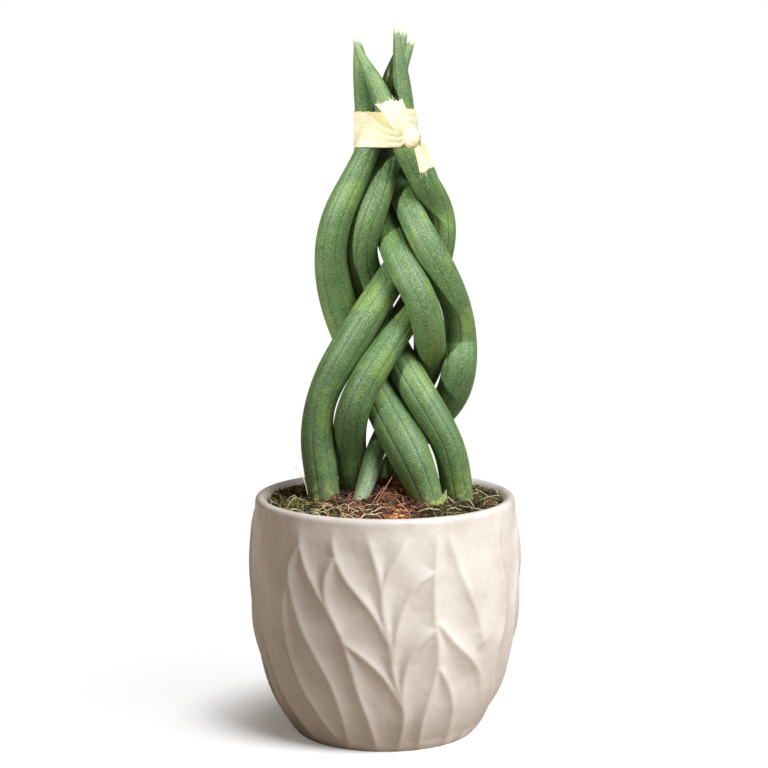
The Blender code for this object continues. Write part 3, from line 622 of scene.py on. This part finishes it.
# Bed: the crumbly ground that the loose moss and bark lie on, one block for each. Moss fills the
# pot round the leaves, and bark fills a heap between them that reaches the rim at the front.
COVER_EDGE, COVER_CROWN, COVER_RADIUS = 120.3, 4.5, 59.9
COVER_FLOOR, CELL = 115.5, 0.9
COVER_LUMP, LUMP_WAVE, COVER_SINK = 1.1, 7.0, 0.6
HEAP_CENTRE, HEAP_REACH, HEAP_CROWN = (4.0, -9.0), (19.0, 17.0), 6.5
HEAP_OUTLINE = [(-15, -64), (-18, -46), (-24, -32), (-26, -10), (-24.5, 9), (-6, 22), (12, 22),
                (24, 10), (27, -8), (25, -30), (17, -46), (14, -64)]
MOSS_BED = [(0.0, (0.01, 0.007, 0.004)), (0.45, (0.032, 0.022, 0.008)), (0.8, (0.1, 0.08, 0.022)),
            (1.0, (0.28, 0.22, 0.09))]
BARK_BED = [(0.0, (0.01, 0.005, 0.005)), (0.45, (0.036, 0.014, 0.01)), (0.8, (0.11, 0.04, 0.02)),
            (1.0, (0.3, 0.13, 0.06))]


def inside_heap(x, y):
    """True where bark covers the soil, and false where moss does."""
    inside = False
    for (x0, y0), (x1, y1) in zip(HEAP_OUTLINE, HEAP_OUTLINE[1:] + HEAP_OUTLINE[:1]):
        if (y0 > y) != (y1 > y) and x < (x1 - x0) * (y - y0) / (y1 - y0) + x0:
            inside = not inside
    return inside


def cover_height(x, y):
    """Height of the cover's crumbly top at a place in the pot."""
    inward = 1.0 - (math.hypot(x, y) / COVER_RADIUS) ** 2
    away = ((x - HEAP_CENTRE[0]) / HEAP_REACH[0]) ** 2 + ((y - HEAP_CENTRE[1]) / HEAP_REACH[1]) ** 2
    lumps = noise.fractal(Vector((x, y, 3.0)) / LUMP_WAVE, 0.8, 2.1, 4)
    rise = COVER_CROWN * inward + HEAP_CROWN * math.exp(-away) + COVER_LUMP * lumps
    return COVER_EDGE + rise - COVER_SINK


def make_bed(node, chosen, stops):
    """A closed block of the cover over the grid cells that a test chooses, with a crumbly top."""
    axis = np.arange(-COVER_RADIUS - CELL, COVER_RADIUS + 2.0 * CELL, CELL)
    numbers, points, tops = {}, [], []

    def corner(i, j):
        if (i, j) not in numbers:
            x, y = axis[i], axis[j]
            if math.hypot(x, y) > COVER_RADIUS:
                x, y = Vector((x, y)).normalized() * COVER_RADIUS
            numbers[i, j] = len(points)
            points.append((x, y, cover_height(x, y)))
        return numbers[i, j]

    for i in range(len(axis) - 1):
        for j in range(len(axis) - 1):
            x, y = axis[i] + CELL / 2, axis[j] + CELL / 2
            if math.hypot(x, y) < COVER_RADIUS and chosen(x, y):
                tops.append([corner(i, j), corner(i + 1, j), corner(i + 1, j + 1), corner(i, j + 1)])
    count = len(points)
    sides = {}
    for face in tops:
        for a, b in zip(face, face[1:] + face[:1]):
            if sides.pop((b, a), None) is None:
                sides[a, b] = True
    faces = tops + [[a + count for a in reversed(face)] for face in tops]
    faces += [[b, a, a + count, b + count] for a, b in sides]
    points += [(x, y, COVER_FLOOR) for x, y, _ in points]

    finish, start = new_finish(node + "_bed")
    crumbs = grain(own_place(start), 330.0, 4.0, 0.75)
    dress(finish, crumbs.step(0.3, 0.72).ramp(stops), 0.95, {"Normal": bump(crumbs, 1.6)})
    new_piece(node + "_bed", points, faces, finish, stands_for=[node], angle=60.0)


make_bed("moss", lambda x, y: not inside_heap(x, y), MOSS_BED)
make_bed("bark", inside_heap, BARK_BED)

# Moss: dried cushion moss, laid loose over the soil. Each sprig is a thin curled stem with small
# pointed leaflets, from dark olive to straw, and longer bare straws lie over the sprigs.
SPRIG_COUNT, SPRIG_POINTS, LEAFLETS = 1500, 6, 11
MOSS_SHADES = [(0.0, (0.016, 0.016, 0.006)), (0.3, (0.06, 0.062, 0.014)), (0.55, (0.17, 0.16, 0.036)),
               (0.8, (0.4, 0.32, 0.11)), (1.0, (0.68, 0.57, 0.3))]
STRAW_COUNT, RIM_STRAWS, STRAW_POINTS = 110, 30, 12
STRAY_SPRIGS = 0.06  # share of the places on the bark that take moss
MOSS_TINT_LEFT, MOSS_TINT_RIGHT = 0.1, -0.08
STRAW_INNER = 24.0  # no straws this near to the middle
RIM_STRAW_LEFT, RIM_STRAW_FRONT = -6.0, -34.0  # they lie left and in front of these
STRAND_SIDE = (0.37, 0.21, 0.9)  # a slant that hardly any strand follows
STRAY_FIBRE = [(-46.7, -20.0, 142.4), (-41.2, -20.0, 134.6), (-39.4, -20.0, 127.0)]
STRAW_SHADES = [(0.0, (0.2, 0.1, 0.045)), (0.4, (0.48, 0.33, 0.14)), (1.0, (0.84, 0.74, 0.48))]
FOOT_HEIGHT = 123.0
FEET = [line[np.abs(line[:, 2] - FOOT_HEIGHT).argmin(), [0, 1, 3]].tolist() for line in leaf_lines]


def keep_clear(x, y, margin, wall):
    """Moves a place out of the leaves' feet and off the pot's wall."""
    for fx, fy, fr in FEET:
        away = math.hypot(x - fx, y - fy)
        if away < fr + margin:
            x, y = fx + (x - fx) * (fr + margin) / away, fy + (y - fy) * (fr + margin) / away
    far = math.hypot(x, y)
    return (x * wall / far, y * wall / far) if far > wall else (x, y)


def lay(draw, x, y, length, curl, lift, count, low):
    """A strand that wanders over the cover from a place, rising by lift in its middle."""
    heading, step, path = draw.uniform(0.0, 2.0 * math.pi), length / (count - 1), []
    bend = draw.gauss(0.0, curl)
    for i in range(count):
        cx, cy = keep_clear(x, y, 0.3, COVER_RADIUS - 0.2)
        rise = lift * math.sin(math.pi * i / (count - 1))
        path.append((cx, cy, cover_height(cx, cy) + low + rise))
        x, y = cx + step * math.cos(heading), cy + step * math.sin(heading)
        heading += bend + draw.gauss(0.0, 0.5 * curl)
    return path


def strands(paths, radii, sides):
    """Points and faces of many thin tubes along paths of equal length."""
    paths, radii = np.asarray(paths, float), np.asarray(radii, float)
    forward = unit(np.gradient(paths, axis=1), 1e-9)
    side = unit(np.cross(forward, STRAND_SIDE), 1e-9)
    other = np.cross(forward, side)
    turn = around(sides)[:, None]
    rings = paths[:, :, None] + radii[..., None, None] * (np.cos(turn) * side[:, :, None]
                                                         + np.sin(turn) * other[:, :, None])
    index = np.arange(rings.size // 3).reshape(rings.shape[:3])
    ahead = np.roll(index, -1, axis=2)
    walls = np.stack([index[:, :-1], ahead[:, :-1], ahead[:, 1:], index[:, 1:]], -1).reshape(-1, 4)
    ends = np.concatenate([index[:, 0, ::-1], index[:, -1]])
    return rings.reshape(-1, 3), walls.tolist() + ends.tolist()


def new_strands(name, made, sides, finish):
    """One piece of many strands, each given as its path, radii and tint."""
    paths, radii, tints = zip(*made)
    points, faces = strands(paths, radii, sides)
    new_piece(name, points, faces, finish, {"tint": np.repeat(tints, sides * len(paths[0]))})


def strand_finish(name, stops, rough):
    """A dry fibre: its shade from the ramp by its own tint, mottled along its length."""
    finish, start = new_finish(name)
    mottle = grain(own_place(start), 500.0)
    shade = read(start, "tint") + 0.5 * (mottle - 0.5)
    dress(finish, shade.ramp(stops), rough, {"Normal": bump(mottle, 0.2)})
    return finish


def taper(count, thick):
    """Radii along a strand that thins towards both ends."""
    along = np.linspace(0.0, 1.0, count)
    return thick * (0.35 + 0.65 * np.sin(math.pi * (0.12 + 0.76 * along)))


def scatter(draw, wanted):
    """A random place on the cover that passes a test and lies outside the leaves."""
    reach = COVER_RADIUS - 1.0
    while True:
        x, y = draw.uniform(-reach, reach), draw.uniform(-reach, reach)
        if math.hypot(x, y) < reach and wanted(x, y) \
                and all(math.hypot(x - fx, y - fy) > fr + 0.2 for fx, fy, fr in FEET):
            return x, y


def tangle(draw, count, wanted, points, curl, low, length, lift, thick, tint):
    """Strands laid at random where a test allows. The last four are each a least and a greatest."""
    made = []
    for _ in range(count):
        x, y = scatter(draw, wanted)
        path = lay(draw, x, y, draw.uniform(*length), curl, draw.uniform(*lift), points, low)
        made.append((path, taper(points, draw.uniform(*thick)), draw.uniform(*tint)))
    return made


def make_moss():
    draw = random.Random(11)
    stems, points, faces, leaf_tints = [], [], [], []
    for _ in range(SPRIG_COUNT):
        x, y = scatter(draw, lambda x, y: not inside_heap(x, y) or draw.random() < STRAY_SPRIGS)
        path = lay(draw, x, y, draw.uniform(4.0, 10.0), 0.35, draw.uniform(0.4, 2.2), SPRIG_POINTS, 0.2)
        patch = 0.5 + 0.5 * noise.noise(Vector((x, y, 9.0)) / 9.0)
        own = draw.gauss(MOSS_TINT_LEFT if x < 0.0 else MOSS_TINT_RIGHT, 0.26)
        tint = min(1.0, max(0.0, 0.52 * patch + own))
        stems.append((path, taper(SPRIG_POINTS, draw.uniform(0.14, 0.24)), tint))
        line = [Vector(p) for p in path]
        for k in range(LEAFLETS):
            t = (k + 0.5) / LEAFLETS * (SPRIG_POINTS - 1)
            i = int(t)
            root = line[i].lerp(line[i + 1], t - i)
            ahead = (line[i + 1] - line[i]).normalized()
            out = Vector((draw.gauss(0, 1), draw.gauss(0, 1), draw.gauss(0.3, 0.8)))
            out = (out - out.project(ahead)).normalized()
            wide = ahead.cross(out) * draw.uniform(0.16, 0.28)
            tip = root + (0.7 * ahead + 0.75 * out) * draw.uniform(0.9, 1.9)
            middle = root.lerp(tip, 0.4)
            lifted = middle + 0.12 * out.cross(wide).normalized()
            a, b, c, d, e = range(len(points), len(points) + 5)
            points += [root, middle + wide, middle - wide, tip, lifted]
            faces += [[a, b, e], [a, e, c], [b, d, e], [c, e, d], [a, c, b], [b, c, d]]
            leaf_tints += [tint + draw.gauss(0.0, 0.06)] * 5
    finish = strand_finish("moss_olive", MOSS_SHADES, 0.75)
    new_strands("moss_stems", stems, 3, finish)
    new_piece("moss_leaflets", points, faces, finish, {"tint": leaf_tints})

    straws = tangle(draw, STRAW_COUNT,
                    lambda x, y: not inside_heap(x, y) and math.hypot(x, y) > STRAW_INNER,
                    STRAW_POINTS, 0.22, 0.8, (9.0, 26.0), (0.8, 3.2), (0.12, 0.25), (0.0, 0.8))
    straws += tangle(draw, RIM_STRAWS, lambda x, y: x < RIM_STRAW_LEFT and y < RIM_STRAW_FRONT,
                     STRAW_POINTS, 0.2, 1.2, (8.0, 20.0), (0.8, 2.4), (0.16, 0.26), (0.5, 1.0))
    stray = smooth_curve([0.0, 0.6, 1.0], STRAY_FIBRE, np.linspace(0.0, 1.0, STRAW_POINTS))
    straws.append((stray, taper(STRAW_POINTS, 0.22), 1.0))
    new_strands("moss_straws", straws, 4, strand_finish("straw", STRAW_SHADES, 0.6))


make_moss()

# Bark: a heap of bark chips and coir between the leaves, spilling to the front of the rim. Chips
# are split dark bark and lighter orange wood; coir is long wiry fibre that tangles over them.
CHIP_COUNT, CHIP_SIDES = 420, 8
CHIP_SHAPE = (0.55, 0.95, 1.0, 0.9, 0.5)  # how full a chip is along its length
ORANGE_TINT, ORANGE_LENGTH, ORANGE_X, ORANGE_REACH = 0.9, 5.5, 8.0, 8.0
STRAY_CHIPS, STRAY_COIR = 0.035, 0.03
CHIP_SHADES = [(0.0, (0.016, 0.008, 0.01)), (0.35, (0.05, 0.022, 0.022)),
               (0.62, (0.17, 0.055, 0.028)), (0.85, (0.5, 0.19, 0.055)), (1.0, (0.78, 0.42, 0.17))]
COIR_COUNT, COIR_POINTS = 330, 9
COIR_SHADES = [(0.0, (0.03, 0.01, 0.009)), (0.4, (0.12, 0.036, 0.022)), (0.75, (0.4, 0.15, 0.07)),
               (1.0, (0.78, 0.48, 0.3))]
ORANGE_CHIPS = [(7.0, -40.0), (11.0, -44.0), (5.5, -47.0), (12.5, -38.0), (1.5, -43.0), (9.0, -51.0),
                (4.0, -52.0), (10.0, -34.0), (13.0, -49.0), (3.0, -36.0), (8.0, -44.5)]
UPRIGHT_FIBRES = [
    ((-6.2, -34.0, 122.5), (3.6, -29.0, 138.0)), ((-7.5, -33.0, 123.0), (-0.5, -30.0, 133.0)),
    ((-3.0, -35.0, 123.0), (0.0, -31.0, 130.5)), ((2.0, -36.0, 123.0), (9.5, -37.0, 126.0)),
    ((12.0, -40.0, 122.5), (6.0, -39.0, 128.5))]


def chip(draw, x, y, length):
    """One split chip: a flattened, angular lump lying on the cover at a slant."""
    width = length * draw.uniform(0.4, 0.7)
    thick, rise = draw.uniform(1.0, 2.2), draw.uniform(-0.1, 0.9)
    turn = around(CHIP_SIDES)
    rings = np.empty((len(CHIP_SHAPE), CHIP_SIDES, 3))
    for i, (place, size) in enumerate(zip(np.linspace(-0.5, 0.5, len(CHIP_SHAPE)), CHIP_SHAPE)):
        jag = np.array([draw.uniform(0.72, 1.1) for _ in turn])
        rings[i, :, 0] = place * length + np.array([draw.uniform(-0.06, 0.06) for _ in turn]) * length
        rings[i, :, 1] = 0.5 * width * size * jag * np.cos(turn)
        rings[i, :, 2] = 0.5 * thick * size * jag * np.sin(turn)
    slant = Euler((draw.gauss(0.0, 0.4), draw.gauss(0.0, 0.35), draw.uniform(0.0, 6.28))).to_matrix()
    points = rings.reshape(-1, 3) @ np.array(slant).T
    return points + np.array([x, y, cover_height(x, y) + rise])


def make_bark():
    draw = random.Random(23)
    places = [(x, y, ORANGE_TINT, ORANGE_LENGTH) for x, y in ORANGE_CHIPS]
    while len(places) < CHIP_COUNT:
        x, y = scatter(draw, lambda x, y: inside_heap(x, y) or draw.random() < STRAY_CHIPS)
        patch = 0.5 + 0.5 * noise.noise(Vector((x, y, 5.0)) / 8.0)
        orange = 0.4 * math.exp(-((x - ORANGE_X) / ORANGE_REACH) ** 2)
        tint = 0.45 * patch + draw.gauss(0.0, 0.2) + orange
        places.append((x, y, min(0.92, abs(tint)), draw.uniform(2.6, 7.5)))
    rings = len(CHIP_SHAPE)
    points = np.concatenate([chip(draw, x, y, length) for x, y, _, length in places])
    outline = skin(rings, CHIP_SIDES)
    faces = [[a + k * rings * CHIP_SIDES for a in face] for k in range(CHIP_COUNT) for face in outline]
    tints = np.repeat([tint for _, _, tint, _ in places], rings * CHIP_SIDES)
    finish = strand_finish("bark_chips", CHIP_SHADES, 0.85)
    new_piece("bark_chips", points, faces, finish, {"tint": tints}, angle=28.0)

    fibres = tangle(draw, COIR_COUNT, lambda x, y: inside_heap(x, y) or draw.random() < STRAY_COIR,
                    COIR_POINTS, 0.16, 0.7, (6.0, 20.0), (0.5, 3.4), (0.09, 0.2), (0.0, 0.95))
    share = np.linspace(0.0, 1.0, COIR_POINTS)[:, None]
    for low, high in UPRIGHT_FIBRES:
        bow = np.array([draw.uniform(-0.9, 0.9), 0.0, draw.uniform(-0.5, 0.5)])
        path = (1.0 - share) * np.array(low) + share * np.array(high) + np.sin(math.pi * share) * bow
        fibres.append((path, taper(COIR_POINTS, 0.26), draw.uniform(0.75, 0.95)))
    new_strands("coir_fibres", fibres, 4, strand_finish("coir", COIR_SHADES, 0.7))


make_bark()

# Tie: one strip of raffia, wound twice round the leaves under their tips and knotted at the front
# right. The upper wrap runs into the knot in pleats, and both cut ends flare out and fray.
TIE_BOTTOM, TIE_TOP = 303.0, 320.0
TIE_REACH_GAP = 0.2
RAFFIA_THICK = 0.3
RAFFIA_GLOW = 0.06  # stands for the light that comes through the thin strip
WRAP_STEPS, WRAP_ROWS, WRAP_LEVELS = 260, 34, 7
STRIP_REACH = 22.0  # radius at which the fibres' pattern is laid out round the wrap
KNOT_PLACE, KNOT_RADII = (13.1, -25.4, 308.0), (4.3, 2.6, 5.2)
KNOT_ROWS, KNOT_SIDES = 40, 56
KNOT_LEAN = (0.0, math.radians(-52), math.radians(10))
END_ROWS, END_COLUMNS = 42, 30
END_CREASE, CREASE_AT = 0.6, 0.58
FRAY_COUNT, FRAY_POINTS = 9, 7
# The olive colour serves both real stains and painted shade in the folds.
RAFFIA_PALE, RAFFIA_CREAM, RAFFIA_STAIN_AND_SHADE = (0.66, 0.62, 0.47), (0.58, 0.52, 0.3), (0.45, 0.41, 0.09)
UPPER_LEFT = [(7.4, 309.4), (4.6, 312.3), (2.0, 315.4), (-1.1, 320.2), (-4.9, 324.4)]
UPPER_RIGHT = [(9.6, 309.6), (11.0, 312.8), (11.4, 316.4), (11.0, 320.6), (8.4, 326.9)]
LOWER_LEFT = [(13.2, 306.6), (14.6, 302.2), (15.7, 297.8), (16.6, 294.0), (17.4, 290.6)]
LOWER_RIGHT = [(17.4, 307.2), (19.9, 304.0), (22.3, 300.5), (24.0, 297.3), (24.8, 293.9)]


def bundle_reach(height, turns):
    """How far a string pulled round the leaves at this height lies from the pot's axis."""
    points = leaf_lines.reshape(-1, 4)
    inside = points[np.abs(points[:, 2] - height) < points[:, 3]]
    section = np.sqrt(inside[:, 3] ** 2 - (inside[:, 2] - height) ** 2)
    lean = around(180)
    support = (inside[:, :1] * np.cos(lean) + inside[:, 1:2] * np.sin(lean) + section[:, None]).max(0)
    across = np.maximum(np.cos(lean[None] - turns[:, None]), 0.15)
    return np.where(across > 0.15, support[None] / across, FAR_OFF).min(1)


def new_sheet(name, grid, strip, fold_shade, stands_for=(), ring=False):
    """A thin closed piece of raffia on a grid of points (along, across); a ring joins its ends."""
    along = np.roll(grid, -1, 0) - np.roll(grid, 1, 0) if ring else np.gradient(grid, axis=0)
    rise = 0.5 * RAFFIA_THICK * unit(np.cross(along, np.gradient(grid, axis=1)))
    rows, columns = grid.shape[:2]
    front = np.arange(rows * columns).reshape(rows, columns)
    if ring:
        front = np.concatenate([front, front[:1]])
    back = front + rows * columns
    quads = [(front[:-1, :-1], front[1:, :-1], front[1:, 1:], front[:-1, 1:]),
             (back[:-1, 1:], back[1:, 1:], back[1:, :-1], back[:-1, :-1]),
             (front[:-1, 0], back[:-1, 0], back[1:, 0], front[1:, 0]),
             (front[1:, -1], back[1:, -1], back[:-1, -1], front[:-1, -1])]
    if not ring:
        quads += [(front[0, 1:], back[0, 1:], back[0, :-1], front[0, :-1]),
                  (front[-1, :-1], back[-1, :-1], back[-1, 1:], front[-1, 1:])]
    faces = [face for quad in quads for face in np.stack(quad, -1).reshape(-1, 4).tolist()]
    points = np.concatenate([grid + rise, grid - rise]).reshape(-1, 3)
    new_piece(name, points, faces, raffia,
              {"strip": np.tile(strip.reshape(-1, 3), (2, 1)), "fold_shade": np.tile(fold_shade.ravel(), 2)},
              stands_for, 70.0)


def raffia_finish():
    """Pale dried palm strip: fine lengthwise fibres and olive stains, with painted shade in olive where
    it folds and over the under wrap, and a faint glow that stands for light through the thin strip.
    """
    finish, start = new_finish("raffia_cream")
    strip = read(start, "strip", 1)
    fibres = grain(strip.stretch(0.1, 2.6, 1.0), 1.0, 4.0, 0.65)
    stains = grain(strip, 0.16, 3.0).step(0.55, 0.72)
    colour = coats(RAFFIA_PALE, (fibres.step(0.35, 0.7), RAFFIA_CREAM),
                   (stains * 0.35, RAFFIA_STAIN_AND_SHADE), (read(start, "fold_shade") * 0.6, RAFFIA_STAIN_AND_SHADE))
    dress(finish, colour, 0.55, {"Normal": bump(fibres, 0.15), "Emission Color": colour,
                                 "Emission Strength": RAFFIA_GLOW})
    return finish


def wrap(name, low, high, offset, pleats, dip, shade, stands_for=()):
    """One turn of the strip round the leaves. Its top dips towards the knot, and right of the knot
    its bottom is drawn up."""
    turns = around(WRAP_STEPS)
    heights = np.linspace(TIE_BOTTOM, TIE_TOP, WRAP_LEVELS)
    reaches = np.array([bundle_reach(z, turns) for z in heights])
    knot = math.atan2(KNOT_PLACE[1], KNOT_PLACE[0])
    apart = np.degrees(np.angle(np.exp(1j * (turns - knot))))
    near = smooth(1.0 - np.abs(apart) / np.where(apart < 0.0, 75.0, 120.0))
    right = 0.5 + 0.5 * np.tanh(apart / 4.0)
    left = (1.0 - right) * near
    across = np.linspace(0.0, 1.0, WRAP_ROWS)
    circle = [(math.cos(t), math.sin(t)) for t in turns]
    wave = np.array([noise.noise(Vector((3.0 * x, 3.0 * y, offset))) for x, y in circle])
    top = high + 0.4 * wave - dip * left + 1.6 * right * near
    bottom = low + 0.3 * wave[::-1] + 9.0 * right * near
    folds = np.abs(np.sin(math.pi * pleats * (across[None] + 0.05 * wave[:, None])))
    depth = (0.2 + 0.45 * left)[:, None] * folds ** 0.7
    bulge = np.array([[noise.noise(Vector((2.2 * x, 2.2 * y, 1.7 * v + offset))) for v in across]
                      for x, y in circle])
    height = bottom[:, None] + (top - bottom)[:, None] * across[None]
    reach = np.array([np.interp(row, heights, reaches[:, k]) for k, row in enumerate(height)])
    radius = reach + TIE_REACH_GAP + offset + depth + 0.2 * bulge
    grid = grid_of(radius * np.cos(turns)[:, None], radius * np.sin(turns)[:, None], height)
    strip = grid_of(turns[:, None] * STRIP_REACH, across[None] * (high - low), offset)
    # Painted shade: olive in the hollows of the pleats, more towards the knot, and at least the shade
    # share all over.
    fold_shade = np.maximum(np.exp(-(folds / 0.2) ** 2) * (0.35 + left[:, None]), shade)
    new_sheet(name, grid, strip, fold_shade, stands_for, ring=True)


def loose_end(name, left, right, depth, seed):
    """A cut end of the strip between its two edges, with a torn end and frayed threads."""
    draw = random.Random(seed)
    share = np.linspace(0.0, 1.0, END_ROWS)
    knots = np.linspace(0.0, 1.0, len(left))
    left, right = smooth_curve(knots, left, share), smooth_curve(knots, right, share)
    across = np.linspace(0.0, 1.0, END_COLUMNS)
    grid = np.empty((END_ROWS, END_COLUMNS, 3))
    for j, a in enumerate(across):
        torn = draw.uniform(-0.02, 0.03) + 0.02 * math.sin(9.0 * a + seed)
        longer = np.clip(share * (1.0 + torn), 0.0, 1.2) - share
        line = (1.0 - a) * left + a * right
        line = line + np.gradient(line, share, axis=0) * longer[:, None] * share[:, None] ** 3
        crease = END_CREASE * (1.0 - 0.6 * share) * math.exp(-((a - CREASE_AT) / 0.16) ** 2)
        ripple = [0.35 * noise.noise(Vector((4.0 * a, 2.0 * t, seed))) for t in share]
        grid[:, j] = np.column_stack([line[:, 0], depth(share) + crease + ripple, line[:, 1]])
    strip = grid_of(share[:, None] * 16.0, across[None] * 10.0, seed)
    # Painted shade: olive along the crease, fading towards the cut end.
    fold_shade = np.exp(-((across[None] - CREASE_AT) / 0.14) ** 2) * (1.0 - share[:, None]) * 1.2
    new_sheet(name, grid[:, ::-1] if left[-1, 0] < left[0, 0] else grid, strip, fold_shade)
    paths, radii = [], []
    for _ in range(FRAY_COUNT):
        j = draw.randrange(1, END_COLUMNS - 1)
        ahead = unit(grid[-1, j] - grid[-4, j]) * draw.uniform(0.8, 2.4) / (FRAY_POINTS - 1)
        turn = np.array([draw.gauss(0.0, 0.12), draw.gauss(0.0, 0.12), draw.gauss(-0.03, 0.1)])
        paths.append([grid[-2, j] + k * ahead + k * k * 0.25 * turn for k in range(FRAY_POINTS)])
        radii.append(taper(FRAY_POINTS, 0.11))
    points, faces = strands(paths, radii, 4)
    new_piece(name + "_fray", points, faces, raffia,
              {"strip": points, "fold_shade": np.zeros(len(points))})


def make_knot():
    """The knot: the strip drawn into a tight ball, pleated where it enters."""
    tilt = np.linspace(-math.pi / 2 + 0.03, math.pi / 2 - 0.03, KNOT_ROWS)[:, None]
    turn = around(KNOT_SIDES)[None]
    ball = grid_of(np.cos(tilt) * np.cos(turn), np.cos(tilt) * np.sin(turn), np.sin(tilt))
    pleat = np.abs(np.sin(4.5 * turn + 0.6 * np.sin(3.0 * tilt)))
    swell = 0.93 + 0.09 * pleat ** 0.6 * np.cos(tilt)
    points = (ball * swell[..., None]).reshape(-1, 3) @ np.array(Euler(KNOT_LEAN).to_matrix()).T
    points = points * np.array(KNOT_RADII) + np.array(KNOT_PLACE)
    # Painted shade: olive in the hollows of the pleats.
    fold_shade = np.exp(-(pleat / 0.25) ** 2) * 0.4
    strip = grid_of(tilt * 5.0, turn * 5.0, 0.0)
    new_piece("raffia_knot", points, skin(KNOT_ROWS, KNOT_SIDES), raffia,
              {"strip": strip.reshape(-1, 3), "fold_shade": fold_shade.ravel()}, angle=80.0)


raffia = raffia_finish()
# The under wrap takes a shade share of 0.75: painted olive shade wherever it shows.
wrap("raffia_under_wrap", 303.4, 320.4, 0.0, 2.0, 0.0, 0.75)
wrap("raffia_over_wrap", 302.9, 320.2, 0.4, 3.0, 9.8, 0.0, ["raffia_tie"])
make_knot()
loose_end("raffia_upper_end", UPPER_LEFT, UPPER_RIGHT,
          lambda share: -25.0 - 1.2 * np.sin(math.pi * share) + 0.6 * share, 3)
loose_end("raffia_lower_end", LOWER_LEFT, LOWER_RIGHT,
          lambda share: -25.5 + 0.4 * np.sin(math.pi * share) + 1.0 * share, 5)
